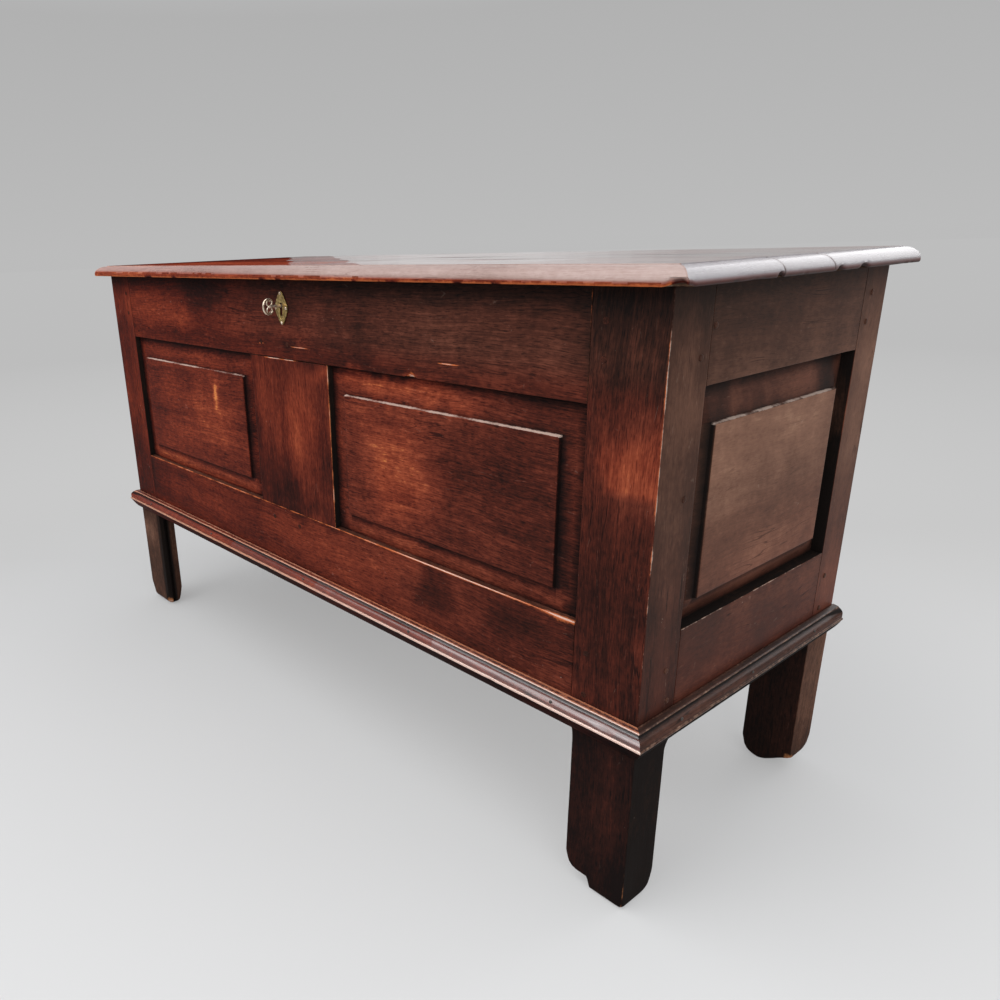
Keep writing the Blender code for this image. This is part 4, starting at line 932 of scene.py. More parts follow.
# At a corner the upper points are worn to one round over a short run
CORNER_RUN = 0.026
ROUND_POINTS = 20
ROUND_REACH = 0.0145
ROUND_HEIGHT = 0.0100
round_share = np.clip(1 + SECTION[:, 1] / ROUND_HEIGHT, 0, 1)
in_round = np.arange(len(SECTION)) < ROUND_POINTS
WORN_REACH = np.where(in_round, ROUND_REACH * np.sqrt(1 - round_share ** 2), SECTION[:, 0])

# Wear of the front moulding and painted shade of its tail along x, and its duller kinds of wood to the left
# of each limit
MOULDING_WEAR = ((-0.6, -0.2, 0.3), (0.70, 0.82, 1.0))
TAIL_PAINTED_SHADE = ((-0.6, -0.3, 0.2), (0.30, 0.6, 0.85))
DULLER = (("mould_3", 0.30), ("mould_2", 0.05), ("mould_1", -0.20))


def moulding(node, start, end, axis, out, mitres, seed):
    """Moulded strip along one axis, with a mitre where it meets its neighbour and small knocks."""
    width = len(SECTION)
    count = round(abs(end - start) / MOULDING_STEP)
    rows = []
    for share in np.linspace(0, 1, count + 1):
        from_worn_end = 1 - share if node == "moulding_right" else share
        corner = max(0.0, 1 - from_worn_end * abs(end - start) / CORNER_RUN)
        reach = SECTION[:, 0] + corner * (np.maximum(WORN_REACH, SECTION[:, 0]) - SECTION[:, 0]) + GAP
        run = start + (end - start) * share + ((1 - share) * mitres[0] + share * mitres[1]) * reach
        rows.append(np.stack([run, reach, MOULDING_TOP + SECTION[:, 1]], 1))
    grid = np.array(rows).reshape(-1, 3)
    run, reach, height = grid.T
    knock = MOULDING_WAVE * field(grid, 30.0, seed)
    knock = knock + KNOCK * np.clip(field(grid, 90.0, seed + 7.0) - 0.72, 0, 1) / 0.28
    reach = np.maximum(reach - knock * (reach > 0.002), GAP)
    points = np.stack((run, FRONT - reach, height) if axis == 0 else (out * (RIGHT + reach), run, height), 1)
    faces = ring_faces(count + 1, width)
    if out < 0:
        faces = turned_over(faces)
    matte_and_shaded = np.append(np.tile(np.arange(width) >= TAIL - 1, count), [True, True])
    also = [(wood("leg", axis, seed), matte_and_shaded)]
    wear, grime_and_shade = np.tile(SECTION[:, 2:], (count + 1, 1)).T
    if axis == 0:
        look = "mould"
        start_x = np.append(points[:count * width, 0], [LEFT, RIGHT])
        also = [(wood(kind, axis, seed), start_x < limit) for kind, limit in DULLER] + also
        wear = wear * np.interp(points[:, 0], *MOULDING_WEAR)
        # The tail under the moulding gets painted shade, deeper to the right
        tail = np.tile(np.arange(width) >= TAIL, count + 1)
        grime_and_shade = np.where(tail, np.interp(points[:, 0], *TAIL_PAINTED_SHADE), grime_and_shade)
        # Painted patches of light and shadow from the front, raised onto the moulding
        glow = 0.58 + 0.5 * painted_front_light(points + np.array([0.0, 0.0, 0.03]))
    else:
        look = "side_mould"
        wear = 0.45 * wear
        glow = 0.46
    show(f"{node}_dressed", points, faces, wood(look, axis, seed), "frame_wood", "carcass", (node,),
         (wear, glow, grime_and_shade, 0.8 * (axis == 1)), 38.0, also)


moulding("moulding_front", LEFT + GAP, RIGHT - GAP, 0, 1, (-1, 1), 25)
moulding("moulding_right", FRONT + GAP, BACK, 1, 1, (-1, 0), 26)
moulding("moulding_left", FRONT + GAP, BACK, 1, -1, (-1, 0), 27)

# Lid boards with a thumb moulding round the front and the ends
LID_LOW = BOX["lid_front_board"][0][2]
LID_HIGH = BOX["lid_front_board"][1][2]
LID_THICK = LID_HIGH - LID_LOW
LID_STEPS = (0.006, 0.004)
THUMB_WIDTH = 0.019
THUMB_NOSE = 0.0035
THUMB_FILLET = 0.0012
thumb_heights = [0.0, 0.0008, 0.002, THUMB_NOSE]
thumb_insets = [0.0012, 0.0004, 0.0, 0.0]
for angle in np.linspace(0, math.pi / 2, 10)[1:]:
    thumb_heights.append(THUMB_NOSE + (LID_THICK - THUMB_NOSE - THUMB_FILLET) * math.sin(angle))
    thumb_insets.append(THUMB_WIDTH * (1 - math.cos(angle)))
thumb_heights += [LID_THICK - 0.0003, LID_THICK]
thumb_insets += [THUMB_WIDTH + 0.0002, THUMB_WIDTH + 0.0006]

# Damage of its edge: chips of the lower arris, a broken corner, and notches under the right end
CHIP_HEIGHT = 0.0045
CHIP_DEPTH = 0.0032
CRUMB_DEPTH = 0.0030
CORNER_CHIP = (0.616, BOX["lid_front_board"][0][1], LID_LOW)
CORNER_CHIP_SIZE = (0.013, 0.012, 0.0085)
CORNER_CHIP_RISE = 0.0034
CORNER_CHIP_DEPTH = 0.0060
END_NOTCHES = ((-0.079, 0.006), (0.043, 0.006), (0.098, 0.011))
END_NOTCH_RISE = 0.006
END_NOTCH_DEPTH = 0.0030
END_NOTCH_LIFT = 0.0022
EDGE_WAVE = 0.0005
SEAM_BAND = 0.0036

# Its tone: height of the red lip and painted shade darkening the top along x, and the border of the dry left
# part
LIP_HEIGHTS = ((-0.60, -0.20, 0.05, 0.30, 0.56), (0.42, 0.38, 0.27, 0.20, 0.14))
TOP_SHADE = ((-0.62, -0.45, -0.33), (-0.26, -0.06, 0.0))
DRY_FROM, DRY_TO = (0.05, -0.234), (-0.624, 0.216)
DRY_WOBBLE = 0.016
DRY_LIMIT = -0.002
HALF_DRY_LIMIT = -0.070
FLATTEN = np.array([1.0, 1.0, 0.0])


def corner_bite(points, seed):
    """How deep the broken front right corner is at each point, from 0 to 1."""
    away = (points - np.array(CORNER_CHIP)) / np.array(CORNER_CHIP_SIZE)
    crumbs = 0.5 * (field(points, 160.0, seed) - 0.5)
    return np.clip(1.2 * (1 - np.linalg.norm(away, axis=1)) + crumbs, 0, 1) ** 0.7


def end_notches(points):
    """The same for the notches under the right end."""
    found = np.zeros(len(points))
    for place, reach in END_NOTCHES:
        far = np.hypot((points[:, 1] - place) / reach, (points[:, 2] - LID_LOW) / END_NOTCH_RISE)
        found = np.maximum(found, np.clip(1.6 * (1 - far), 0, 1))
    return found


def dryness(places):
    """How far each place on the lid lies past the uneven border of its dry part."""
    wobble = DRY_WOBBLE * (field(places * FLATTEN, 9.0, 4.0) - 0.5)
    across = (DRY_TO[0] - DRY_FROM[0]) * (places[:, 1] - DRY_FROM[1])
    across = across - (DRY_TO[1] - DRY_FROM[1]) * (places[:, 0] - DRY_FROM[0])
    return across + wobble


def lid_shape(points, low, high, moulded, at_right, seed):
    """Points drawn in by the moulding and chipped, then how deep the broken corner and the notches are."""
    x, y, z = points.T
    half = high[0]
    chips = CHIP_DEPTH * np.clip(field(points, 38.0, seed) - 0.60, 0, 1) / 0.4
    chips += CRUMB_DEPTH * np.clip(field(points, 130.0, seed) - 0.66, 0, 1) / 0.34
    inset = np.interp(z - LID_LOW, thumb_heights, thumb_insets)
    inset = inset + tent(z - LID_LOW, CHIP_HEIGHT) * chips + EDGE_WAVE * field(points, 9.0, seed)
    placed = points.copy()
    placed[:, 0] = x * (half - inset) / half
    if moulded:
        share = (y - low[1]) / (high[1] - low[1])
        placed[:, 1] = low[1] + inset + share * (high[1] - low[1] - inset)
    top = z > LID_HIGH - HAIR
    placed[top, 2] -= (WAVE * field(points * FLATTEN, 5.0, seed))[top]
    bite = corner_bite(points, seed) * moulded
    placed[:, 2] += CORNER_CHIP_RISE * bite
    placed[:, 1] += CORNER_CHIP_DEPTH * bite
    notch = at_right * end_notches(points)
    placed[:, 0] -= END_NOTCH_DEPTH * notch
    placed[:, 2] += END_NOTCH_LIFT * notch
    return placed, bite, notch


def lid_board(node, seed, lift):
    """One lid board with its tone, in the woods of its top, its underside, its edge and its ends."""
    low, high = BOX[node]
    moulded = node == "lid_front_board"
    half = high[0]
    xs = lines_between(low[0], half, LID_STEPS[0], SOFT, [half - 0.001 * s for s in range(2, 60, 3)])
    ys = lines_between(low[1], high[1], LID_STEPS[1], SOFT)
    points, quads = shell(xs, ys, LID_LOW + np.array(thumb_heights))
    x, y, z = points.T
    top = z > LID_HIGH - HAIR
    ends = half - np.abs(x)
    at_right = 1.0 * (ends < 0.002) * (x > 0)
    placed, bite, notch = lid_shape(points, low, high, moulded, at_right, seed)
    outer = np.minimum(ends, y - low[1]) if moulded else ends
    level = (z - LID_LOW) / LID_THICK
    rim = 1.0 * (outer < HAIR)
    lip = np.interp(x, *LIP_HEIGHTS)
    band = rim * smooth(level - lip, 0.0, 0.16)
    patchy = smooth(field(points, 43.0, seed + 2.0), 0.27, 0.36)
    arris = rim * tent(level, 0.26)
    wear = 0.86 * arris * (1.0 - 0.75 * at_right) * (0.30 + 0.70 * patchy)
    wear = np.maximum(wear, 0.7 * tent(np.abs(bite - 0.30), 0.25) * (bite > 0)) * (bite < 0.6)
    seam = np.zeros(len(points))
    if not moulded:
        seam = np.maximum(seam, tent(y - low[1], SEAM_BAND))
    if node != "lid_back_board":
        seam = np.maximum(seam, tent(high[1] - y, SEAM_BAND))
    seam = seam * (0.5 + rim * (0.9 * smooth(field(points, 90.0, seed), 0.35, 0.65) - 0.3))
    dirty_arris = arris * np.maximum(0.8 * (1 - patchy), 0.8 * at_right)
    # Grime, with painted shade inside the broken corner and in the notches
    grime_and_shade = np.maximum.reduce((seam, (level < 0.01) * 0.4, dirty_arris, smooth(bite, 0.45, 0.7),
                               0.95 * smooth(notch, 0.15, 0.5)))
    # Painted sheen on the band, a painted highlight on the top arris, a lighter lip and painted shade on the
    # top
    near_corner = smooth(x, 0.40, 0.62) * (1 - at_right)
    glow = 0.5 + band * (0.05 + 0.12 * smooth(x, -0.05, -0.35) + 0.12 * near_corner)
    glow += rim * (0.14 * (level > 0.9) + 0.26 * (1 - band)) * (1 - at_right)
    glow += top * (1 - rim) * (lift + np.interp(x, *TOP_SHADE))
    # The band fades towards the pink grey of a painted sky reflection
    faded_and_sheen = band * np.maximum(0.45 + 0.55 * smooth(x, -0.30, 0.15), at_right)

    middle = placed[quads].mean(1)
    dry = dryness(middle)
    upper = z[quads].min(1) > LID_HIGH - HAIR
    underside = z[quads].max(1) < LID_LOW + HAIR
    ragged = 0.24 * (field(middle, 60.0, seed + 8.0) - 0.5)
    red_lip = (level[quads].mean(1) < lip[quads].mean(1) + ragged) & (at_right[quads].min(1) < 1)
    edge = (outer[quads] < HAIR).all(1)
    end = edge & (ends[quads] < HAIR).all(1)
    also = [(wood("half_lid", 0, seed), (dry > HALF_DRY_LIMIT) & upper),
            (wood("dry_lid", 0, seed), (dry > DRY_LIMIT) & upper),
            (wood("inside", 0, seed), underside), (wood("lid_edge", 0, seed), edge),
            (wood("lid_end", 1, seed), end), (wood("frame", 0, seed), edge & red_lip)]
    show(f"{node}_dressed", placed, quads, wood("lid", 0, seed), "lid_wood", "lid", (node,),
         (wear, glow, grime_and_shade, faded_and_sheen), 38.0, also)


lid_board("lid_front_board", 28, 0.05)
lid_board("lid_middle_board", 29, -0.07)
lid_board("lid_back_board", 30, 0.0)
BATTEN_ROUND = 0.003
for side, seed in (("left", 31), ("right", 32)):
    board(f"lid_{side}_batten", *BOX[f"lid_{side}_batten"], "inside", 1, seed, "lid", BATTEN_ROUND)


# Pegs, nails and other small round pieces
def lathe(profile, centre, axis, sides=12, uneven=0.0, seed=0.0):
    """Closed turned body from distance and radius pairs along one axis."""
    points = []
    for distance, radius in profile:
        for i in range(sides):
            angle = 2 * math.pi * i / sides
            place = (math.cos(angle) * 1.7 + seed, math.sin(angle) * 1.7, distance * 50)
            rough = 1 + uneven * noise.noise(place)
            a, b = radius * rough * math.cos(angle), radius * rough * math.sin(angle)
            local = {0: (distance, a, b), 1: (b, distance, a), 2: (a, b, distance)}[axis]
            points.append(np.array(centre) + np.array(local))
    return points, ring_faces(len(profile), sides)


def joined(parts):
    """Points and faces of several closed bodies as one list."""
    points, faces = [], []
    for part_points, part_faces in parts:
        faces += [[index + len(points) for index in face] for face in part_faces]
        points += list(part_points)
    return np.array(points), faces


PEG_PROFILE = ((0.0004, 0.55), (0.0002, 0.78), (0.0006, 0.93), (0.003, 0.97))
for i, node in enumerate(sorted(name for name in frame["nodes"] if name.startswith("peg_"))):
    low, high = BOX[node]
    centre = ((low[0] + high[0]) / 2, 0.0, (low[2] + high[2]) / 2)
    radius = (high[0] - low[0]) / 2
    profile = [(low[1] + depth, share * radius) for depth, share in PEG_PROFILE] + [(high[1], 0.8 * radius)]
    points, faces = lathe(profile, centre, 1, 14, 0.10, i * 3.1)
    show(f"{node}_dressed", points, faces, wood("frame", 1, 33), "peg_wood", "carcass", (node,),
         (0.25, 0.46, 0.25, 0.5))

# Pegs of the side frames, seen as small heads on the posts
WALLS = (("left", LEFT, -1), ("right", RIGHT, 1))
SIDE_PEGS = ((-0.161, 0.601), (-0.141, 0.628), (-0.166, 0.469), (-0.168, 0.286), (-0.161, 0.249),
             (0.188, 0.636), (0.184, 0.604), (0.186, 0.290), (0.184, 0.246))
SIDE_PEG_PROFILE = ((-0.004, 0.0034), (0.0002, 0.0034), (0.0007, 0.0030), (0.0009, 0.0020))
for side, wall, out in WALLS:
    profile = [(wall + out * height, radius) for height, radius in SIDE_PEG_PROFILE]
    for i, (y, z) in enumerate(SIDE_PEGS):
        points, faces = lathe(profile, (0.0, y, z), 0, 12, 0.14, i * 1.7)
        if out < 0:
            faces = turned_over(faces)
        show(f"side_peg_{side}_{i + 1}", points, faces, wood("side", 0, 34), "peg_wood", "carcass", (),
             (0.3, 0.54, 0.12, 0.9))

# Hand-forged nails with low faceted heads: height and share of the radius
NAIL_PROFILE = ((-0.004, 0.45), (0.0, 0.5), (0.0, 1.0), (0.0007, 0.9), (0.0014, 0.35))
NAIL_RADIUS = 0.0030


def nails(name, places, axis, out, body, radius=NAIL_RADIUS):
    """A group of nails that all point one way."""
    profile = [(height * out, share * radius) for height, share in NAIL_PROFILE]
    parts = []
    for place in places:
        points, faces = lathe(profile, place, axis, 7, 0.22, sum(place) * 40)
        parts.append((points, faces if out > 0 else turned_over(faces)))
    show(name, *joined(parts), IRON, "iron", body, (), None, 30.0)


NAIL_REACH = 0.0126
MOULDING_NAIL = 0.0022
nail_z = MOULDING_TOP - 0.0104
front_places = [(x, FRONT - NAIL_REACH, nail_z) for x in (-0.52, -0.27, 0.02, 0.264, 0.50)]
nails("moulding_nails_front", front_places, 1, -1, "carcass", MOULDING_NAIL)
for side, wall, out in WALLS:
    side_places = [(wall + out * NAIL_REACH, y, nail_z) for y in (-0.15, -0.003, 0.15)]
    nails(f"moulding_nails_{side}", side_places, 0, out, "carcass", MOULDING_NAIL)


# Iron work: the frame's own solids with softened edges
def iron_work(node, material, width=0.0005):
    obj = frame["nodes"][node]
    obj.data.materials.clear()
    obj.data.materials.append(material)
    bevel = obj.modifiers.new("soft_edges", "BEVEL")
    bevel.width = width
    bevel.segments = 2
    bevel.limit_method = "ANGLE"
    bevel.angle_limit = math.radians(35)
    bevel.harden_normals = False


# Nails of the hinges, as places on the plate and on the strap
PLATE_NAILS = ((-0.008, 0.012), (0.008, 0.024), (-0.008, 0.042))
STRAP_NAILS = ((0.0, 0.022), (0.004, 0.075), (-0.004, 0.125), (0.004, 0.175))
plate_face = BACK + 0.0030
strap_face = LID_LOW - GAP - 0.0027
for side in ("left", "right"):
    for part in ("strap", "plate", "pin"):
        iron_work(f"hinge_{part}_{side}", IRON)
    plate_low, plate_high = BOX[f"hinge_plate_{side}"]
    strap_y = BOX[f"hinge_strap_{side}"][0][1]
    middle = (plate_low[0] + plate_high[0]) / 2
    plate_places = [(middle + dx, plate_face, plate_low[2] + dz) for dx, dz in PLATE_NAILS]
    nails(f"hinge_plate_nails_{side}", plate_places, 1, 1, "carcass")
    strap_places = [(middle + dx, strap_y + dy, strap_face) for dx, dy in STRAP_NAILS]
    nails(f"hinge_strap_nails_{side}", strap_places, 2, -1, "lid")
for node in ("lock_plate", "lock_case", "lid_staple"):
    iron_work(node, IRON, 0.0004)
iron_work("lock_bolt", STEEL, 0.0006)
plate_low, plate_high = BOX["lock_plate"]
lock_places = [(x, plate_high[1], z) for x in (plate_low[0] + 0.007, plate_high[0] - 0.007)
               for z in (plate_low[2] + 0.008, plate_high[2] - 0.008)]
nails("lock_nails", lock_places, 1, 1, "carcass", 0.0026)


def tube(path, radii, reference=(1.0, 0.0, 0.0), sides=10):
    """Round bar along a path of points that lies square to the reference direction."""
    path = [Vector(point) for point in path]
    points = []
    reference = Vector(reference)
    for i, point in enumerate(path):
        tangent = (path[min(i + 1, len(path) - 1)] - path[max(i - 1, 0)]).normalized()
        side = tangent.cross(reference).normalized()
        for k in range(sides):
            angle = 2 * math.pi * k / sides
            points.append(np.array(point + (reference * math.cos(angle) + side * math.sin(angle)) * radii[i]))
    return points, ring_faces(len(path), sides)


# Escutcheon: cusped plate with a keyhole, its rim bevelled
plate_low, plate_high = BOX["escutcheon"]
KEY_AXIS = frame["joints"][1]["pos_m"]
key_x, key_z = KEY_AXIS[0], KEY_AXIS[2]
plate_middle = (plate_low + plate_high) / 2
HOLE, SLOT, DROP = 0.0046, 0.0038, 0.0140
PLATE_BEVEL = 0.0004
RIM_SIDES = 96


def plate_curve():
    """Outline and keyhole as a filled flat curve, extruded and bevelled."""
    curve = bpy.data.curves.new("escutcheon_outline", "CURVE")
    curve.dimensions = "2D"
    curve.fill_mode = "BOTH"
    half_w, half_d, half_h = (plate_high - plate_low) / 2 - PLATE_BEVEL
    curve.extrude = half_d
    curve.bevel_depth = PLATE_BEVEL
    curve.bevel_resolution = 2
    rim = []
    for i in range(RIM_SIDES):
        angle = 2 * math.pi * i / RIM_SIDES
        cusp = 1 - 0.17 * abs(math.sin(2 * angle)) ** 1.3 - 0.025 * (1 + math.cos(16 * angle)) / 2
        rim.append((half_w * cusp * math.cos(angle), half_h * cusp * math.sin(angle)))
    hole_z = key_z - plate_middle[2]
    neck = math.asin(SLOT / HOLE)
    hole = [(-SLOT, hole_z - DROP), (SLOT, hole_z - DROP)]
    hole += [(HOLE * math.cos(angle), hole_z + HOLE * math.sin(angle))
             for angle in np.linspace(-math.pi / 2 + neck, 1.5 * math.pi - neck, 21)]
    for ring in (rim, hole):
        spline = curve.splines.new("POLY")
        spline.points.add(len(ring) - 1)
        spline.use_cyclic_u = True
        for point, (a, b) in zip(spline.points, ring):
            point.co = (a, b, 0.0, 1.0)
    return curve


holder = bpy.data.objects.new("escutcheon_outline", plate_curve())
bpy.context.scene.collection.objects.link(holder)
holder.matrix_world = Matrix.Translation(plate_middle) @ Matrix.Rotation(math.pi / 2, 4, "X")
bpy.context.view_layer.update()
flat_mesh = bpy.data.meshes.new_from_object(holder.evaluated_get(bpy.context.evaluated_depsgraph_get()))
flat_mesh.transform(holder.matrix_world)
bpy.data.objects.remove(holder)
plate_points = np.array([vert.co for vert in flat_mesh.vertices])
plate_faces = [list(face.vertices) for face in flat_mesh.polygons]
# A raised lip round the lower end of the slot
LIP = 0.0007
LIP_TOP = -0.0070
lip_reach = SLOT + LIP
lip_path = [(-lip_reach, LIP_TOP)]
lip_path += [(lip_reach * math.cos(angle), -DROP + lip_reach * math.sin(angle))
             for angle in np.linspace(-math.pi, 0, 13)]
lip_path += [(lip_reach, LIP_TOP)]
lip_places = [(key_x + a, plate_low[1], key_z + b) for a, b in lip_path]
lip = tube(lip_places, [LIP] * len(lip_path), (0.0, 1.0, 0.0), 8)
plate_points, plate_faces = joined([(list(plate_points), plate_faces), lip])
show("escutcheon_dressed", plate_points, plate_faces, BRASS, "brass", "carcass", ("escutcheon",), None, 50.0)
PIN_HEAD, PIN_RADIUS = 0.0014, 0.0022
for side in ("top", "bottom", "left", "right"):
    node = f"escutcheon_pin_{side}"
    low, high = BOX[node]
    head = low[1] + PIN_HEAD
    profile = [(head - PIN_HEAD * math.cos(angle), PIN_RADIUS * math.sin(angle))
               for angle in np.linspace(0.25, math.pi / 2, 6)]
    profile += [(head, 0.0009), (high[1], 0.0007)]
    points, faces = lathe(profile, ((low[0] + high[0]) / 2, 0.0, (low[2] + high[2]) / 2), 1, 16)
    show(f"{node}_dressed", points, faces, KEY_BRASS, "brass", "carcass", (node,), None, 50.0)

# Key: a two-lobed bow with curled ends, a plain shank and a notched bit
key_low, key_high = BOX["key"]
BOW_LENGTH, BOW_HEIGHT, BAR = 0.019, 0.023, 0.0014
SCROLL_Y, SCROLL_Z, OPEN = 0.0008, 0.0055, math.radians(40)
SCROLL_TURN = math.radians(330)
SHANK = 0.0023
BIT_HALF = 0.0014
bow_y = key_low[1] + BOW_LENGTH / 2
bow_a, bow_b = BOW_LENGTH / 2 - BAR, BOW_HEIGHT / 2 - BAR
first_y, first_z = bow_a * math.cos(OPEN) - SCROLL_Y, bow_b * math.sin(OPEN) - SCROLL_Z
scroll_start, scroll_radius = math.atan2(first_z, first_y), math.hypot(first_y, first_z)
scroll = []
for turn in np.linspace(0, 1, 24):
    angle = scroll_start - SCROLL_TURN * turn
    radius = scroll_radius * (1 - 0.66 * turn)
    place = (SCROLL_Y + radius * math.cos(angle), SCROLL_Z + radius * math.sin(angle))
    scroll.append((*place, BAR * (0.9 - 0.35 * turn)))
sweep = [(bow_a * math.cos(angle), bow_b * math.sin(angle), BAR * (0.9 + 0.2 * abs(math.sin(angle / 2))))
         for angle in np.linspace(OPEN, 2 * math.pi - OPEN, 40)]
bow = scroll[:0:-1] + sweep + [(y, -z, radius) for y, z, radius in scroll[1:]]
parts = [tube([(key_x, bow_y + y, key_z + z) for y, z, radius in bow], [radius for y, z, radius in bow])]
start = bow_y - 0.0010
shank_profile = ((start, 0.0010), (start + 0.001, 0.0018), (bow_y + 0.0060, 0.0020), (bow_y + 0.0085, SHANK),
                 (key_high[1] - 0.0008, SHANK), (key_high[1], SHANK * 0.7))
parts.append(lathe(shank_profile, (key_x, 0.0, key_z), 1, 18))
bit_middle = (BOX["lock_bolt"][0][1] + BOX["lock_bolt"][1][1]) / 2
bit_x = np.array([key_x - BIT_HALF, key_x + BIT_HALF])
for near, far, lift in ((-0.0055, -0.0018, 0.0), (-0.0018, 0.0012, 0.004), (0.0012, 0.0055, 0.0)):
    bit_y = np.array([bit_middle + near, bit_middle + far])
    bit_points, bit_quads = shell(bit_x, bit_y, np.array([key_low[2] + lift, key_z - 0.002]))
    parts.append((list(bit_points), bit_quads.tolist()))
show("key_dressed", *joined(parts), KEY_BRASS, "brass", "key_body", ("key",), None, 45.0)

# Stage: a pale floor that fades into the backdrop, soft boxes and a soft sky. Greys and sky colours come with
# their places on a ramp
NEAR_GREYS = ((0.0, 0.30, 0.62, 0.80, 1.0), (0.58, 0.63, 0.69, 0.72, 0.77))
FAR_GREYS = ((0.20, 0.45, 0.70, 1.0), (0.60, 0.57, 0.54, 0.51))
SKY = ((0.0, 0.22, 0.40, 0.75),
       ((0.50, 0.50, 0.50), (0.44, 0.44, 0.44), (0.61, 0.62, 0.64), (1.02, 1.04, 1.07)))
TOWARDS_VIEWER = (0.786, -0.618, 0.0)
LIT_SHARE = 0.80
FADE_REACH = 5.0
FLOOR_REACH = 40.0
FLOOR_SIDES = 96


def grey_ramp(tree, value, places, greys):
    return ramp(tree, value, places, [(grey, grey, grey) for grey in greys])


def floor_material():
    material, tree, shader = shader_of("pale_floor")
    place = add(tree, "ShaderNodeTexCoord").outputs["Object"]
    radius = add(tree, "ShaderNodeVectorMath", {0: place}, operation="LENGTH").outputs["Value"]
    far_colour = grey_ramp(tree, calc(tree, "DIVIDE", radius, FADE_REACH), *FAR_GREYS)
    towards = add(tree, "ShaderNodeVectorMath", {0: place, 1: TOWARDS_VIEWER}, operation="DOT_PRODUCT")
    nearness = add(tree, "ShaderNodeMapRange", {0: towards.outputs["Value"], 1: -0.60, 2: 0.75}).outputs[0]
    near_colour = grey_ramp(tree, nearness, *NEAR_GREYS)
    colour = blend(tree, spread(tree, radius, 1.0, 2.0), near_colour, far_colour)
    lit_colour = blend(tree, 1.0, colour, (LIT_SHARE, LIT_SHARE, LIT_SHARE, 1.0), "MULTIPLY")
    tree.links.new(lit_colour, shader.inputs["Base Color"])
    shader.inputs["Roughness"].default_value = 0.9
    shader.inputs["Specular IOR Level"].default_value = 0.1
    path = add(tree, "ShaderNodeLightPath")
    seen = calc(tree, "MAXIMUM", path.outputs["Is Camera Ray"], path.outputs["Is Glossy Ray"])
    seen = calc(tree, "MAXIMUM", seen, path.outputs["Is Transmission Ray"])
    far = calc(tree, "MULTIPLY", seen, spread(tree, radius, 0.70, 1.4, 0.45, 1.0))
    haze = add(tree, "ShaderNodeEmission", {"Color": colour})
    mixed = add(tree, "ShaderNodeMixShader", {0: far, 1: shader.outputs[0], 2: haze.outputs[0]})
    tree.links.new(mixed.outputs[0], tree.nodes["Material Output"].inputs["Surface"])
    return material


floor_mesh = bpy.data.meshes.new("floor")
rim_angles = [2 * math.pi * i / FLOOR_SIDES for i in range(FLOOR_SIDES)]
rim = [(FLOOR_REACH * math.cos(angle), FLOOR_REACH * math.sin(angle), 0.0) for angle in rim_angles]
floor_mesh.from_pydata(rim, [], [list(range(FLOOR_SIDES))])
floor_mesh.materials.append(floor_material())
floor = bpy.data.objects.new("floor", floor_mesh)
bpy.context.scene.collection.objects.link(floor)

world = bpy.data.worlds.new("soft_sky")
bpy.context.scene.world = world
world.use_nodes = True
tree = world.node_tree
direction = add(tree, "ShaderNodeTexCoord").outputs["Generated"]
height = add(tree, "ShaderNodeSeparateXYZ", {0: direction}).outputs[2]
tree.links.new(ramp(tree, height, *SKY), tree.nodes["Background"].inputs["Color"])
tree.nodes["Background"].inputs["Strength"].default_value = 1.0


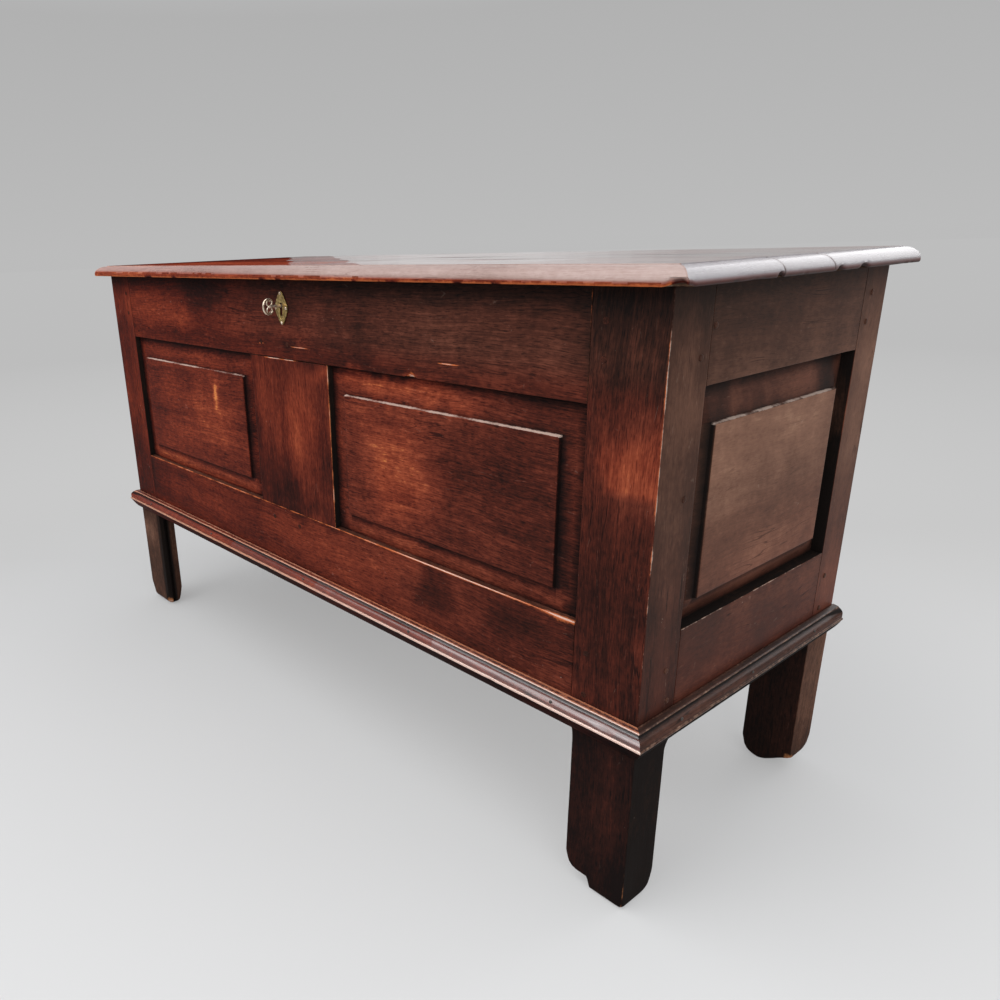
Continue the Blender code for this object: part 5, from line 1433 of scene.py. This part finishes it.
def soft_box(name, place, target, size, power, colour=(1.0, 1.0, 1.0)):
    """Rectangular soft light that the camera doesn't see."""
    lamp = bpy.data.lights.new(name, "AREA")
    lamp.shape = "RECTANGLE"
    lamp.size, lamp.size_y = size
    lamp.energy = power
    lamp.color = colour
    obj = bpy.data.objects.new(name, lamp)
    obj.location = place
    obj.rotation_euler = (Vector(target) - Vector(place)).to_track_quat("-Z", "Y").to_euler()
    obj.visible_camera = False
    bpy.context.scene.collection.objects.link(obj)


soft_box("soft_box_over", (-0.7, -1.3, 2.7), (0.1, -0.1, 0.4), (3.0, 2.4), 38.0)
soft_box("soft_box_front", (-0.5, -3.1, 2.2), (0.0, 0.0, 0.4), (2.4, 1.6), 26.0)
soft_box("soft_box_right", (2.9, -1.6, 2.0), (0.4, 0.0, 0.4), (1.8, 1.5), 20.0)
soft_box("soft_box_rear", (0.7, 3.0, 1.8), (0.4, 0.0, 0.5), (2.4, 1.5), 27.0)
for i, wide in enumerate((1.0, 1.3, 1.6, 1.9, 2.2, 2.5, 2.8)):
    place = (-3.25 - 0.01 * i, 3.45 + 0.01 * i, 1.05)
    soft_box(f"soft_box_low_{i + 1}", place, (0.2, 0.0, 0.6), (wide, 2.1), 0.19 * wide)

# Camera: place, aim, focal length and picture centre fitted to the photograph
CAMERA_PLACE = (0.99725, -0.85659, 0.70932)
YAW, PITCH, ROLL = (math.radians(angle) for angle in (51.80, -19.95, -2.15))
FOCAL_PIXELS = 819.52
CENTRE = (371.96, 539.40)
PICTURE = 1000.0
ahead = Vector((-math.sin(YAW) * math.cos(PITCH), math.cos(YAW) * math.cos(PITCH), math.sin(PITCH)))
right = ahead.cross(Vector((0.0, 0.0, 1.0))).normalized()
upward = right.cross(ahead)
turned_right = right * math.cos(ROLL) + upward * math.sin(ROLL)
turned_up = upward * math.cos(ROLL) - right * math.sin(ROLL)
lens = bpy.data.cameras.new("camera")
lens.sensor_width = 36.0
lens.lens = FOCAL_PIXELS * lens.sensor_width / PICTURE
lens.shift_x = (PICTURE / 2 - CENTRE[0]) / PICTURE
lens.shift_y = (CENTRE[1] - PICTURE / 2) / PICTURE
camera = bpy.data.objects.new("camera", lens)
pose = Matrix((turned_right, turned_up, -ahead)).transposed().to_4x4()
pose.translation = CAMERA_PLACE
camera.matrix_world = pose
bpy.context.scene.collection.objects.link(camera)
bpy.context.scene.camera = camera
bpy.context.scene.view_settings.view_transform = "Standard"
